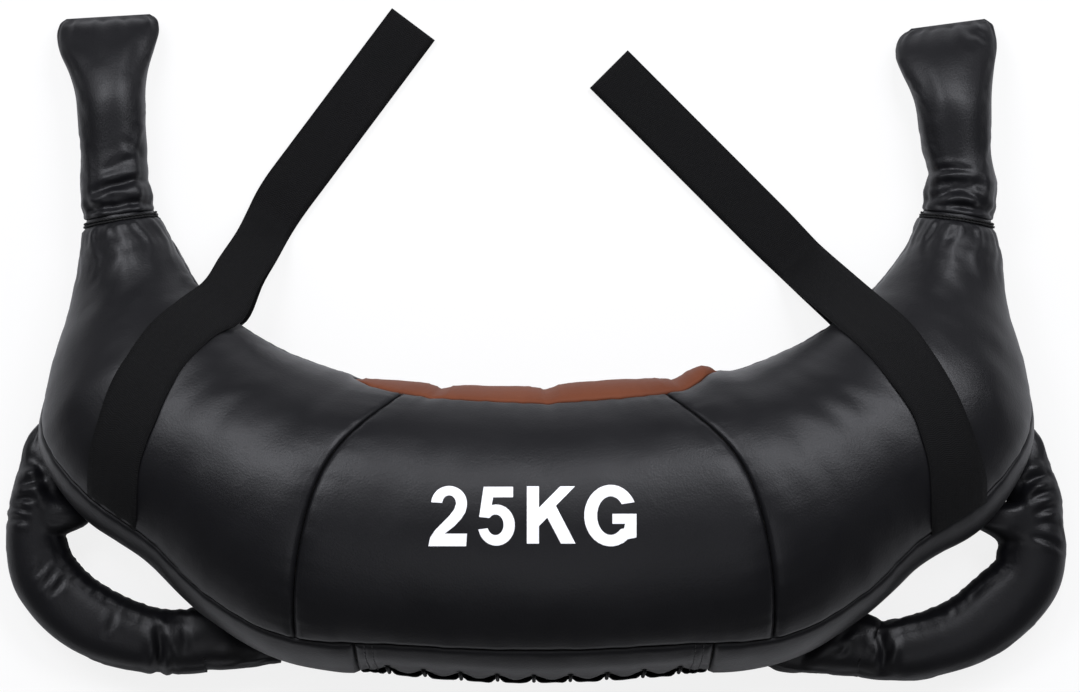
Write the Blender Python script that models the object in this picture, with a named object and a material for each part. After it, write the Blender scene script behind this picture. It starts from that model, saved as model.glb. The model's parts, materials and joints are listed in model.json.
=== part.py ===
"""Crescent training bag lying on its back: leather panels, sand liners, webbing straps and padded handles."""
import math

import bmesh
import bpy
from mathutils import Quaternion, Vector

# Driving sizes in metres. Outlines below are shares of the overall span.
BAG_SPAN = 0.830
LEATHER = 0.0020
WEBBING = 0.0020
FACE_GAP = 0.0003
LAYER_GAP = 0.0006
STRAP_GAP = 0.0013
CORD_ROOM = 0.0009
CORD_BEND = 0.0020
GRIP_PADDING_GAP = 0.0014
LOOP_PADDING_GAP = 0.0007
SEAM_GAP = 0.0005
UNDER_ROOM = 0.0036
FLAT_SINK = 0.0060
LINER_DEPTH = 0.0056
RIGHT_LINER_DEPTH = 0.0048
CORD = 0.0030
HOLE = 0.0050
TIE_WIDTH = 0.0100
WEB_WIDTH = 0.0400
STRAP_LANDING = 0.0080
LEFT_STRAP_FREE = 0.1830
RIGHT_STRAP_FREE = 0.2010
GRIP_ROOT = 0.0235
LOOP_BALL = 0.0205

SECTION_TOP_POWER = 2.1
SECTION_BOTTOM_POWER = 2.8
WIDEST_SHARE = 0.42
RIGHT_SPREAD_SHARE = 0.0085
LAST_STATION = 9
SEAM_STATION = 2.0
CLOSURE_STATION = 1.42
GUSSET_TIP_STATION = 6.9
PAD_STATION = 3.0
PAD_END_STATION = 3.05
PAD_ANGLE = math.radians(24)
SLIT_ANGLE = math.radians(3)
HOLE_ANGLE = math.radians(8)
TONGUE_ANGLE = math.radians(15)
HALF_TURN = math.pi
LINER_SEAM_ROOM = 0.02
LINER_SET_BACK = 0.06
LINER_SPREAD = math.radians(2)
STEP = 0.004

# Each row: inner edge x and y, outer edge x and y, bulge of the seams, height; as shares of the span.
BODY_SHARES = (
    (0.0000, 0.1372, 0.0000, -0.1382, 0.0000, 0.2169),
    (0.0592, 0.1391, 0.1156, -0.1325, 0.0263, 0.2145),
    (0.1184, 0.1429, 0.2303, -0.1175, 0.0423, 0.2072),
    (0.1692, 0.1485, 0.3055, -0.0761, 0.0395, 0.1928),
    (0.2115, 0.1635, 0.3609, -0.0263, 0.0338, 0.1759),
    (0.2462, 0.1795, 0.4201, 0.0103, 0.0282, 0.1614),
    (0.2773, 0.1992, 0.4586, 0.0771, 0.0235, 0.1446),
    (0.3036, 0.2218, 0.4530, 0.1504, 0.0150, 0.1205),
    (0.3271, 0.2500, 0.4361, 0.2218, 0.0075, 0.0916),
    (0.3581, 0.3092, 0.4229, 0.2998, 0.0000, 0.0675),
)
# Angle of the lower seam at each station, in degrees round the section from the inner edge.
LOWER_SEAM_DEGREES = (141.5, 142.5, 146.0, 147.0, 146.0, 144.0, 156.0, 180.0, 180.0, 180.0)


def material(name, colour, roughness):
    made = bpy.data.materials.new(name)
    made.use_nodes = True
    shader = made.node_tree.nodes["Principled BSDF"]
    shader.inputs["Base Color"].default_value = (*colour, 1)
    shader.inputs["Roughness"].default_value = roughness
    return made


def finish(name, points, faces, origin, colour, roughness):
    """Add a closed mesh as one named object whose origin is the given point."""
    mesh = bpy.data.meshes.new(name)
    mesh.from_pydata([point - origin for point in points], [], faces)
    shaped = bmesh.new()
    shaped.from_mesh(mesh)
    bmesh.ops.recalc_face_normals(shaped, faces=shaped.faces)
    shaped.to_mesh(mesh)
    shaped.free()
    mesh.polygons.foreach_set("use_smooth", [True] * len(mesh.polygons))
    made = bpy.data.objects.new(name, mesh)
    made.location = origin
    bpy.context.scene.collection.objects.link(made)
    mesh.materials.append(material(name + "_look", colour, roughness))
    return made


def plate(upper, lower):
    """Points and faces of a sheet between two grids of points."""
    columns = len(upper)
    rows = len(upper[0])
    points = [point for column in upper for point in column]
    points += [point for column in lower for point in column]
    below = columns * rows
    faces = []
    for column in range(columns - 1):
        for row in range(rows - 1):
            first = column * rows + row
            quad = (first, first + 1, first + rows + 1, first + rows)
            faces.append(quad)
            faces.append(tuple(below + corner for corner in reversed(quad)))
    border = [column * rows for column in range(columns)]
    border += [(columns - 1) * rows + row for row in range(1, rows)]
    border += [column * rows + rows - 1 for column in range(columns - 2, -1, -1)]
    border += list(range(rows - 2, 0, -1))
    for first, second in zip(border, border[1:] + border[:1]):
        faces.append((first, second, below + second, below + first))
    return points, faces


def loft(rings, wrapped=False, middles=None):
    """Points and faces through closed rings; joined last to first, or capped at both ends round given middles."""
    count = len(rings[0])
    points = [point for ring in rings for point in ring]
    faces = []
    pairs = list(zip(range(len(rings)), range(1, len(rings))))
    if wrapped:
        pairs.append((len(rings) - 1, 0))
    for low, high in pairs:
        for corner in range(count):
            following = (corner + 1) % count
            faces.append((low * count + corner, low * count + following,
                          high * count + following, high * count + corner))
    if wrapped:
        return points, faces
    for ring_index, middle in zip((0, len(rings) - 1), middles or (None, None)):
        corners = [ring_index * count + corner for corner in range(count)]
        if middle is None:
            faces.append(tuple(corners))
            continue
        points.append(middle)
        for first, second in zip(corners, corners[1:] + corners[:1]):
            faces.append((first, second, len(points) - 1))
    return points, faces


def row_at(rows, place):
    """Smooth value of a table at a place counted in rows, run on straight past its ends."""
    def row(index):
        if index < 0:
            return [2 * a - b for a, b in zip(rows[0], rows[-index])]
        if index >= len(rows):
            return [2 * a - b for a, b in zip(rows[-1], rows[2 * len(rows) - 2 - index])]
        return rows[index]

    low = math.floor(place)
    part = place - low
    before, start, end, after = (row(low + shift) for shift in (-1, 0, 1, 2))
    return [b + part / 2 * (c - a + part * (2 * a - 5 * b + 4 * c - d + part * (3 * (b - c) + d - a)))
            for a, b, c, d in zip(before, start, end, after)]


def mirrored(row):
    return [-row[0], row[1], -row[2], row[3], -row[4], row[5]]


WHOLE_BODY = [mirrored(row) for row in BODY_SHARES[:0:-1]] + [list(row) for row in BODY_SHARES]


def smooth(value, start, end):
    part = min(1, max(0, (value - start) / (end - start)))
    return part * part * (3 - 2 * part)


def station(t):
    """Inner edge, outer edge, bulge and height at a signed station; negative is the left wing."""
    inner_x, inner_y, outer_x, outer_y, bulge, top = row_at(WHOLE_BODY, t + LAST_STATION)
    spread = RIGHT_SPREAD_SHARE * max(0, t / LAST_STATION) ** 2
    inner = Vector((inner_x + spread, inner_y, 0)) * BAG_SPAN
    outer = Vector((outer_x + spread, outer_y, 0)) * BAG_SPAN
    return inner, outer, bulge * BAG_SPAN, top * BAG_SPAN


def plan(t, across):
    """Point in plan at a share of the way from the inner edge to the outer edge."""
    inner, outer, bulge, top = station(t)
    way = (outer - inner).normalized()
    return inner.lerp(outer, across) + Vector((-way.y, way.x, 0)) * bulge * 4 * across * (1 - across)


def ground(t):
    """Height of the underside: on the floor in the middle, just clear of the straps below the wings."""
    return UNDER_ROOM * smooth(abs(t), 3.1, 4.0)


def face(t, turn):
    """Outer face of the leather; turn runs from the inner edge over the top to the outer edge and back below."""
    top = station(t)[3]
    rises = math.sin(turn) >= 0
    power = SECTION_TOP_POWER if rises else SECTION_BOTTOM_POWER
    side = math.cos(turn)
    lift = math.sin(turn)
    reach = (abs(side) ** power + abs(lift) ** power) ** (-1 / power)
    point = plan(t, (1 - reach * side) / 2)
    widest = WIDEST_SHARE * top
    if rises:
        point.z = widest + (top - widest) * reach * lift
    else:
        point.z = max(ground(t), widest + (widest - ground(t) + FLAT_SINK) * reach * lift)
    return point


def normal(t, turn):
    along = face(t + STEP, turn) - face(t - STEP, turn)
    around = face(t, turn + STEP) - face(t, turn - STEP)
    return around.cross(along).normalized()


def skin(t, turn, lift):
    return face(t, turn) + normal(t, turn) * lift


def lower_seam(t):
    degrees = row_at([(value,) for value in LOWER_SEAM_DEGREES], abs(t))[0]
    return math.radians(min(180, degrees))


def inner_seam(t):
    return PAD_ANGLE * max(0, 1 - (abs(t) / PAD_END_STATION) ** 8)


def shares(count):
    return [index / count for index in range(count + 1)]


def inset(grid, amount):
    """Draw the border of a grid of points inward by an amount."""
    columns = len(grid)
    rows = len(grid[0])
    moved = [[point.copy() for point in column] for column in grid]
    for column in range(columns):
        for edge, inside in ((0, 1), (rows - 1, rows - 2)):
            moved[column][edge] += (grid[column][inside] - grid[column][edge]).normalized() * amount
    for row in range(rows):
        for edge, inside in ((0, 1), (columns - 1, columns - 2)):
            moved[edge][row] += (grid[inside][row] - grid[edge][row]).normalized() * amount
    return moved


HALF_COLUMNS = [CLOSURE_STATION * share for share in shares(4)]
HALF_COLUMNS += [(CLOSURE_STATION + SEAM_STATION) / 2]
HALF_COLUMNS += [SEAM_STATION + (LAST_STATION - SEAM_STATION) * share for share in shares(14)]
COLUMNS = [-t for t in HALF_COLUMNS[:0:-1]] + HALF_COLUMNS


def between(start, end):
    """Stations where the panels have a line of points, so that neighbours meet point for point."""
    return [t for t in COLUMNS if start - STEP < t < end + STEP]


def panel(name, stations, low, high, rows, depth, colour, roughness):
    """A leather panel on a run of stations between two seams, its outer face a depth below the body's face."""
    grids = []
    for lift in (-depth, -depth - LEATHER):
        grid = []
        for t in stations:
            turns = [low(t) + (high(t) - low(t)) * share for share in shares(rows)]
            grid.append([skin(t, turn, lift) for turn in turns])
        grids.append(inset(grid, SEAM_GAP / 2))
    return finish(name, *plate(*grids), Vector(), colour, roughness)


BLACK = (0.020, 0.020, 0.022)
RUST = (0.300, 0.095, 0.040)
WEB_BLACK = (0.012, 0.012, 0.012)
CALICO = (0.560, 0.520, 0.440)
FOAM = (0.620, 0.600, 0.560)

for old in list(bpy.data.objects):
    bpy.data.objects.remove(old, do_unlink=True)


def opposite(edge):
    return lambda t: 2 * HALF_TURN - edge(t)


# Leather cover: three front panels, three back panels and the pad along the inner edge.
LEFT_WING = between(-LAST_STATION, -SEAM_STATION)
CENTRE = between(-SEAM_STATION, SEAM_STATION)
RIGHT_WING = between(SEAM_STATION, LAST_STATION)
back_low = opposite(lower_seam)
back_high = opposite(inner_seam)
panel("front_centre_panel", CENTRE, inner_seam, lower_seam, 10, 0, BLACK, 0.42)
panel("front_left_panel", LEFT_WING, inner_seam, lower_seam, 10, 0, BLACK, 0.42)
panel("front_right_panel", RIGHT_WING, inner_seam, lower_seam, 10, 0, BLACK, 0.42)
panel("back_centre_panel", CENTRE, back_low, back_high, 10, 0, BLACK, 0.45)
panel("back_left_panel", LEFT_WING, back_low, back_high, 10, 0, BLACK, 0.45)
panel("back_right_panel", RIGHT_WING, back_low, back_high, 10, 0, BLACK, 0.45)
panel("neck_pad", between(-PAD_STATION, PAD_STATION), lambda t: -inner_seam(t), inner_seam, 4, 0, RUST, 0.50)

# Gusset strips and the laced closure along the outer edge.
LEFT_GUSSET = [-GUSSET_TIP_STATION] + between(0.1 - GUSSET_TIP_STATION, -CLOSURE_STATION)
RIGHT_GUSSET = between(CLOSURE_STATION, GUSSET_TIP_STATION - 0.1) + [GUSSET_TIP_STATION]
CLOSURE = between(-CLOSURE_STATION, CLOSURE_STATION)
slit_front = HALF_TURN - SLIT_ANGLE
slit_back = HALF_TURN + SLIT_ANGLE
panel("gusset_left", LEFT_GUSSET, lower_seam, back_low, 6, 0, BLACK, 0.45)
panel("gusset_right", RIGHT_GUSSET, lower_seam, back_low, 6, 0, BLACK, 0.45)
front_flap = panel("closure_front_flap", CLOSURE, lower_seam, lambda t: slit_front, 4, 0, BLACK, 0.45)
back_flap = panel("closure_back_flap", CLOSURE, lambda t: slit_back, back_low, 4, 0, BLACK, 0.45)

LACE_STATIONS = [(index - 4) * 0.293 for index in range(9)]
CORD_OUT = CORD / 2 + CORD_ROOM
CORD_IN = -LEATHER - CORD / 2 - CORD_ROOM
TONGUE_DEPTH = LEATHER + CORD + CORD_ROOM + LAYER_GAP


def punch(flap, turn):
    """Cut the lacing holes in a flap, each along the normal of the leather."""
    points = []
    faces = []
    for t in LACE_STATIONS:
        middle = skin(t, turn, -LEATHER / 2)
        axis = normal(t, turn)
        side = axis.orthogonal().normalized()
        rings = []
        for reach in (-2 * LEATHER, 2 * LEATHER):
            rings.append([middle + axis * reach + Quaternion(axis, corner * math.pi / 4) @ side * HOLE / 2
                          for corner in range(8)])
        new_points, new_faces = loft(rings)
        faces += [tuple(corner + len(points) for corner in new_face) for new_face in new_faces]
        points += new_points
    cutter = finish(flap.name + "_cutter", points, faces, Vector(), BLACK, 0.5)
    cutter.hide_render = True
    cutter.display_type = "WIRE"
    cut = flap.modifiers.new("holes", "BOOLEAN")
    cut.operation = "DIFFERENCE"
    cut.solver = "EXACT"
    cut.object = cutter


punch(front_flap, HALF_TURN - HOLE_ANGLE)
punch(back_flap, HALF_TURN + HOLE_ANGLE)
panel("closure_tongue", CLOSURE, lambda t: HALF_TURN - TONGUE_ANGLE, lambda t: HALF_TURN + TONGUE_ANGLE,
      3, TONGUE_DEPTH, BLACK, 0.5)


def rounded(path, radius):
    """Round the corners of a line of points."""
    softer = [path[0]]
    for before, corner, after in zip(path, path[1:], path[2:]):
        start = corner + (before - corner).normalized() * radius
        end = corner + (after - corner).normalized() * radius
        softer += [start, (start + 2 * corner + end) / 4, end]
    softer.append(path[-1])
    return softer


def tube(path, radius, sides):
    """Rings of a round cord along a line of points, carried on without twist."""
    rings = []
    way = (path[1] - path[0]).normalized()
    across = way.orthogonal().normalized()
    for index, point in enumerate(path):
        following = path[min(index + 1, len(path) - 1)]
        behind = path[max(index - 1, 0)]
        turned = (following - behind).normalized()
        across = (across - turned * across.dot(turned)).normalized()
        rings.append([point + Quaternion(turned, corner * 2 * math.pi / sides) @ across * radius
                      for corner in range(sides)])
    return rings


lace_path = []
for t in LACE_STATIONS:
    lace_path.append(skin(t, HALF_TURN - HOLE_ANGLE, CORD_IN))
    lace_path.append(skin(t, HALF_TURN - HOLE_ANGLE, CORD_OUT))
    lace_path.append(skin(t, HALF_TURN + HOLE_ANGLE, CORD_OUT))
    lace_path.append(skin(t, HALF_TURN + HOLE_ANGLE, CORD_IN))
finish("closure_lace", *loft(tube(rounded(lace_path, CORD_BEND), CORD / 2, 5)), Vector(), WEB_BLACK, 0.7)


# Sand liners: three inner bags that fill the cover, set back behind the lacing.
def liner_depth(t, turn, depth):
    near = 1 - smooth(abs(t), CLOSURE_STATION + 0.05, SEAM_STATION - 0.05)
    level = 1 - smooth(abs(turn - HALF_TURN), TONGUE_ANGLE + math.radians(3), math.radians(44))
    return depth + (TONGUE_DEPTH + LEATHER + LAYER_GAP - depth) * near * level


def liner_turns(t):
    """Angles of every second line of points of the panels, kept apart where the seams run together."""
    front_start = max(inner_seam(t), LINER_SPREAD)
    front_end = min(lower_seam(t), HALF_TURN - LINER_SPREAD)
    front = [inner_seam(t) + (lower_seam(t) - inner_seam(t)) * share for share in shares(5)]
    front[0] = front_start
    front[-1] = front_end
    outer = [front_end + 2 * (HALF_TURN - front_end) * share for share in shares(3)[1:-1]]
    return [0] + front + outer + [2 * HALF_TURN - turn for turn in reversed(front)]


def liner(name, stations, depth=LINER_DEPTH):
    rings = []
    for t in stations:
        turns = liner_turns(t)
        rings.append([skin(t, turn, -liner_depth(t, turn, depth)) for turn in turns])
    middles = [plan(t, 0.5) + Vector((0, 0, station(t)[3] / 2)) for t in (stations[0], stations[-1])]
    return finish(name, *loft(rings, middles=middles), Vector(), CALICO, 0.9)


NECK_END = LAST_STATION - LINER_SET_BACK
SEAM_SIDE = SEAM_STATION + LINER_SEAM_ROOM
CENTRE_SIDE = SEAM_STATION - LINER_SEAM_ROOM
liner("sand_liner_centre", [-CENTRE_SIDE] + CENTRE[1:-1] + [CENTRE_SIDE])
liner("sand_liner_left", [-NECK_END] + LEFT_WING[1:-1] + [-SEAM_SIDE])
liner("sand_liner_right", [SEAM_SIDE] + RIGHT_WING[1:-1] + [NECK_END], RIGHT_LINER_DEPTH)


# Bindings round the two necks.
def neck_tie(name, side):
    rings = []
    neck_step = TIE_WIDTH / (plan(LAST_STATION, 0.5) - plan(LAST_STATION - 1, 0.5)).length
    first = LAST_STATION - 1.3 * neck_step
    last = LAST_STATION - 0.3 * neck_step
    inside = STRAP_GAP
    outside = STRAP_GAP + LEATHER / 2
    for t, lift in ((first, inside), (first, outside), (last, outside), (last, inside)):
        rings.append([skin(side * t, 2 * HALF_TURN * share, lift) for share in shares(24)[:-1]])
    return finish(name, *loft(rings, wrapped=True), Vector(), BLACK, 0.6)


neck_tie("left_neck_tie", -1)
neck_tie("right_neck_tie", 1)


# Webbing straps: a run over each wing, a run below it, and the free loop where the two runs meet on the floor.
# Each row: one edge x and y, other edge x and y, from the hinge line to the lower seam.
LEFT_STRAP_SHARES = (
    (-0.2650, 0.3186, -0.2274, 0.2904),
    (-0.2782, 0.2876, -0.2387, 0.2650),
    (-0.2951, 0.2594, -0.2556, 0.2359),
    (-0.3083, 0.2368, -0.2707, 0.2011),
    (-0.3289, 0.2199, -0.2951, 0.1861),
    (-0.3524, 0.1992, -0.3205, 0.1607),
    (-0.3722, 0.1720, -0.3365, 0.1335),
    (-0.3900, 0.1410, -0.3477, 0.1071),
    (-0.4032, 0.1015, -0.3562, 0.0865),
    (-0.4098, 0.0752, -0.3637, 0.0602),
    (-0.4126, 0.0395, -0.3675, 0.0056),
)
RIGHT_STRAP_SHARES = (
    (0.2246, 0.2500, 0.2585, 0.2838),
    (0.2425, 0.2321, 0.2782, 0.2641),
    (0.2613, 0.2143, 0.2979, 0.2453),
    (0.2791, 0.1974, 0.3177, 0.2265),
    (0.3092, 0.1673, 0.3477, 0.1983),
    (0.3318, 0.1382, 0.3703, 0.1664),
    (0.3477, 0.1147, 0.3882, 0.1353),
    (0.3562, 0.0921, 0.4004, 0.1071),
    (0.3628, 0.0677, 0.4098, 0.0818),
    (0.3656, 0.0414, 0.4173, 0.0564),
    (0.3675, 0.0009, 0.4192, 0.0320),
)
WEB_COLUMNS = 4
LOWER_LAYER = FACE_GAP
UPPER_LAYER = LOWER_LAYER + WEBBING + LAYER_GAP
HINGE_HEIGHT = UPPER_LAYER + WEBBING + FACE_GAP / 2


def seat(point, t, across):
    """Station and share across of a point in plan."""
    for _ in range(14):
        here = plan(t, across)
        by_t = (plan(t + STEP, across) - here) / STEP
        by_across = (plan(t, across + STEP) - here) / STEP
        miss = point - here
        scale = by_t.x * by_across.y - by_t.y * by_across.x
        t += min(1, max(-1, (miss.x * by_across.y - miss.y * by_across.x) / scale))
        t = min(LAST_STATION, max(-LAST_STATION, t))
        across += (by_t.x * miss.y - by_t.y * miss.x) / scale
        across = min(1.3, max(-0.3, across))
    return t, across


def over(point, side):
    """Height of the top of the wing above a point in plan, or nothing beside the wing."""
    t, across = seat(point, side * 5.5, 0.5)
    if not 0 < across < 1:
        return None
    top = station(t)[3]
    widest = WIDEST_SHARE * top
    bow = (1 - abs(1 - 2 * across) ** SECTION_TOP_POWER) ** (1 / SECTION_TOP_POWER)
    return widest + (top - widest) * bow


def web_line(rows, share):
    """Plan points of one lengthwise thread of the webbing, from the hinge to the seam."""
    first_length = (Vector(rows[1][:2]) - Vector(rows[0][:2])).length * BAG_SPAN
    landing = STRAP_LANDING / first_length
    places = [0, landing / 2, landing]
    places += [landing + (len(rows) - 1 - landing) * part for part in shares(19)[1:]]
    line = []
    for place in places:
        one_x, one_y, other_x, other_y = row_at(rows, place)
        one = Vector((one_x, one_y, 0)) * BAG_SPAN
        line.append(one.lerp(Vector((other_x, other_y, 0)) * BAG_SPAN, share))
    return line


def taut(line, side):
    """Lift a line of webbing over the wing: flat at the hinge, then taut to where it meets the leather."""
    low = UPPER_LAYER - STRAP_GAP
    for point in line[:3]:
        point.z = low
    heights = [over(point, side) for point in line]
    runs = [0]
    for first, second in zip(line, line[1:]):
        runs.append(runs[-1] + (second.xy - first.xy).length)
    steep = 0
    meets = len(line)
    for index in range(3, len(line)):
        if heights[index] is not None:
            slope = (heights[index] - low) / (runs[index] - runs[2])
            if slope > steep:
                steep = slope
                meets = index
    for index in range(3, len(line)):
        free = low + steep * (runs[index] - runs[2])
        line[index].z = free if index < meets or heights[index] is None else heights[index]
    return line


def raised(grid, lift):
    """A grid of points moved along its own upward normals."""
    columns = len(grid)
    rows = len(grid[0])
    moved = []
    for column in range(columns):
        line = []
        for row in range(rows):
            across = grid[min(column + 1, columns - 1)][row] - grid[max(column - 1, 0)][row]
            along = grid[column][min(row + 1, rows - 1)] - grid[column][max(row - 1, 0)]
            up = across.cross(along).normalized()
            if up.z < 0:
                up = -up
            line.append(grid[column][row] + up * lift)
        moved.append(line)
    return moved


def front_run(name, rows, side):
    base = [taut(web_line(rows, share), side) for share in shares(WEB_COLUMNS)]
    upper = raised(base, STRAP_GAP + WEBBING)
    lower = raised(base, STRAP_GAP)
    return finish(name, *plate(upper, lower), Vector(), WEB_BLACK, 0.9)


def back_run(name, rows):
    upper = []
    lower = []
    for share in shares(WEB_COLUMNS):
        line = web_line(rows, share)[:-2:3]
        upper.append([point + Vector((0, 0, LOWER_LAYER + WEBBING)) for point in line])
        lower.append([point + Vector((0, 0, LOWER_LAYER)) for point in line])
    return finish(name, *plate(upper, lower), Vector(), WEB_BLACK, 0.9)


def strap_loop(name, rows, free):
    """The free webbing: two layers on the floor, folded round at the far end."""
    one = Vector((rows[0][0], rows[0][1], 0)) * BAG_SPAN
    other = Vector((rows[0][2], rows[0][3], 0)) * BAG_SPAN
    side = (other - one).normalized()
    way = Vector((-side.y, side.x, 0))
    if way.y < 0:
        way = -way
    hinge = one.lerp(other, 0.5) + way * FACE_GAP + Vector((0, 0, HINGE_HEIGHT))
    fold = (UPPER_LAYER + WEBBING - LOWER_LAYER) / 2
    middle = LOWER_LAYER + fold
    stretch = free - fold
    profile = [(FACE_GAP + (stretch - FACE_GAP) * part, -1) for part in shares(3)]
    outer = [(reach, middle - fold) for reach, _ in profile]
    inner = [(reach, middle - fold + WEBBING) for reach, _ in profile]
    for corner in shares(6)[1:-1]:
        turn = math.pi * (corner - 0.5)
        outer.append((stretch + math.cos(turn) * fold, middle + math.sin(turn) * fold))
        inner.append((stretch + math.cos(turn) * (fold - WEBBING), middle + math.sin(turn) * (fold - WEBBING)))
    outer += [(reach, middle + fold) for reach, _ in reversed(profile)]
    inner += [(reach, middle + fold - WEBBING) for reach, _ in reversed(profile)]
    ground_point = Vector((hinge.x, hinge.y, 0))
    half = side * WEB_WIDTH / 2
    grids = []
    for outline in (outer, inner):
        grids.append([[ground_point + half * (2 * share - 1) + way * reach + Vector((0, 0, height))
                       for reach, height in outline] for share in shares(2)])
    return finish(name, *plate(*grids), hinge, WEB_BLACK, 0.9)


front_run("left_strap_front_run", LEFT_STRAP_SHARES, -1)
front_run("right_strap_front_run", RIGHT_STRAP_SHARES, 1)
back_run("left_strap_back_run", LEFT_STRAP_SHARES)
back_run("right_strap_back_run", RIGHT_STRAP_SHARES)
strap_loop("left_strap_loop", LEFT_STRAP_SHARES, LEFT_STRAP_FREE)
strap_loop("right_strap_loop", RIGHT_STRAP_SHARES, RIGHT_STRAP_FREE)


# Upright grips: leather sleeves on foam cores, bending where the necks are tied.
# Each row: y, left x and right x of the grip, and its height off the floor side, as shares of the span.
LEFT_GRIP_SHARES = (
    (0.3500, -0.4255, -0.3605, 0.0570),
    (0.3609, -0.4248, -0.3628, 0.0600),
    (0.3985, -0.4276, -0.3647, 0.0610),
    (0.4173, -0.4295, -0.3647, 0.0585),
    (0.4361, -0.4352, -0.3618, 0.0505),
    (0.4549, -0.4436, -0.3562, 0.0385),
    (0.4737, -0.4464, -0.3534, 0.0270),
    (0.4859, -0.4398, -0.3590, 0.0180),
)
RIGHT_GRIP_SHARES = (
    (0.3500, 0.3650, 0.4305, 0.0570),
    (0.3609, 0.3656, 0.4295, 0.0600),
    (0.3985, 0.3609, 0.4286, 0.0610),
    (0.4173, 0.3553, 0.4295, 0.0575),
    (0.4361, 0.3468, 0.4323, 0.0480),
    (0.4549, 0.3412, 0.4352, 0.0360),
    (0.4718, 0.3459, 0.4333, 0.0250),
    (0.4812, 0.3581, 0.4267, 0.0180),
)
GRIP_LIFT = 0.0055
GRIP_SIDES = 14
OPEN_TURN = math.radians(54)
ROOT_TURNS = [math.radians(84), math.radians(67)]


def ring(centre, way, wide, high, sides):
    """An oval ring of points across a way in plan."""
    across = Vector((-way.y, way.x, 0)).normalized()
    turns = [2 * math.pi * share for share in shares(sides)[:-1]]
    return [centre + across * wide * math.cos(turn) + Vector((0, 0, high * math.sin(turn))) for turn in turns]


def neck_frame(side):
    """Middle of the neck's end and the way the neck points."""
    inner, outer, bulge, top = station(side * LAST_STATION)
    edge = (outer - inner).normalized()
    way = Vector((-edge.y, edge.x, 0)) * side
    return (inner + outer) / 2, way, (outer - inner).length / 2


def grip_rings(side, rows, thinner, root_turns, end_back):
    """Rings of a grip from its rounded root to its flat sewn end."""
    middle, way, half = neck_frame(side)
    hinge = middle + way * (GRIP_ROOT + FACE_GAP)
    height = GRIP_LIFT + GRIP_ROOT
    hinge.z = height
    rings = []
    for turn in root_turns:
        inside = 0 if turn > OPEN_TURN else thinner
        radius = GRIP_ROOT - inside
        centre = hinge - way * radius * math.sin(turn)
        rings.append(ring(centre, way, half - inside, radius * math.cos(turn), GRIP_SIDES))
    places = range(1, len(rows))
    first = rows[0]
    last = rows[-1]
    heading = Vector((last[1] + last[2] - first[1] - first[2], 2 * (last[0] - first[0]), 0))
    for place in places:
        y, low, high, thick = row_at(rows, place - end_back * (place == places[-1]))
        centre = Vector((low + high, 2 * y, thick)) * BAG_SPAN / 2
        centre.z += GRIP_LIFT
        rings.append(ring(centre, heading, (high - low) * BAG_SPAN / 2 - thinner,
                          thick * BAG_SPAN / 2 - thinner, GRIP_SIDES))
    return hinge, rings


def grip(name, side, rows):
    open_turns = [OPEN_TURN * share for share in (1, 2 / 3, 1 / 3, 0)]
    hinge, outer = grip_rings(side, rows, 0, open_turns, 0)
    hinge, inner = grip_rings(side, rows, LEATHER, open_turns, 0.35)
    finish(name + "_sleeve", *loft(inner[::-1] + outer), hinge, BLACK, 0.42)
    hinge, core = grip_rings(side, rows, LEATHER + GRIP_PADDING_GAP, ROOT_TURNS + open_turns, 0.85)
    finish(name + "_core", *loft(core), hinge, FOAM, 0.9)


grip("left_grip", -1, LEFT_GRIP_SHARES)
grip("right_grip", 1, RIGHT_GRIP_SHARES)


# Grab loops at the lower corners: a padded tube that flops between two sewn roots.
# Each row: x, y and half width of the tube, as shares of the span.
LEFT_LOOP_SHARES = (
    (-0.4671, 0.0291, 0.0254), (-0.4680, 0.0113, 0.0268), (-0.4671, -0.0103, 0.0282), (-0.4596, -0.0367, 0.0310),
    (-0.4389, -0.0630, 0.0329), (-0.4126, -0.0836, 0.0338), (-0.3797, -0.0959, 0.0310), (-0.3515, -0.1015, 0.0282),
)
RIGHT_LOOP_SHARES = (
    (0.4718, 0.0291, 0.0254), (0.4709, 0.0085, 0.0282), (0.4699, -0.0132, 0.0320), (0.4615, -0.0414, 0.0338),
    (0.4370, -0.0667, 0.0357), (0.4079, -0.0883, 0.0338), (0.3741, -0.1024, 0.0310), (0.3477, -0.1081, 0.0291),
)
LEFT_UPPER_ROOT_SHARES = (
    (-0.4601, 0.1002, 0.0051), (-0.4657, 0.0833, 0.0108), (-0.4657, 0.0683, 0.0155), (-0.4639, 0.0560, 0.0183),
)
RIGHT_UPPER_ROOT_SHARES = (
    (0.4671, 0.0967, 0.0066), (0.4718, 0.0816, 0.0123), (0.4699, 0.0685, 0.0160), (0.4680, 0.0562, 0.0198),
)
LEFT_LOWER_ROOT_SHARES = (
    (-0.2373, -0.1147, 0.0070), (-0.2514, -0.1128, 0.0107), (-0.2702, -0.1090, 0.0164), (-0.2890, -0.1043, 0.0229),
    (-0.3078, -0.0978, 0.0314), (-0.3238, -0.0949, 0.0342),
)
RIGHT_LOWER_ROOT_SHARES = (
    (0.2202, -0.1172, 0.0072), (0.2343, -0.1191, 0.0109), (0.2512, -0.1153, 0.0156), (0.2700, -0.1106, 0.0213),
    (0.2888, -0.1069, 0.0260), (0.3067, -0.1012, 0.0316), (0.3189, -0.0984, 0.0354),
)
LOOP_LIFT = 0.0010
LOOP_SIDES = 12
MOUTH_TURN = math.radians(54)


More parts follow.
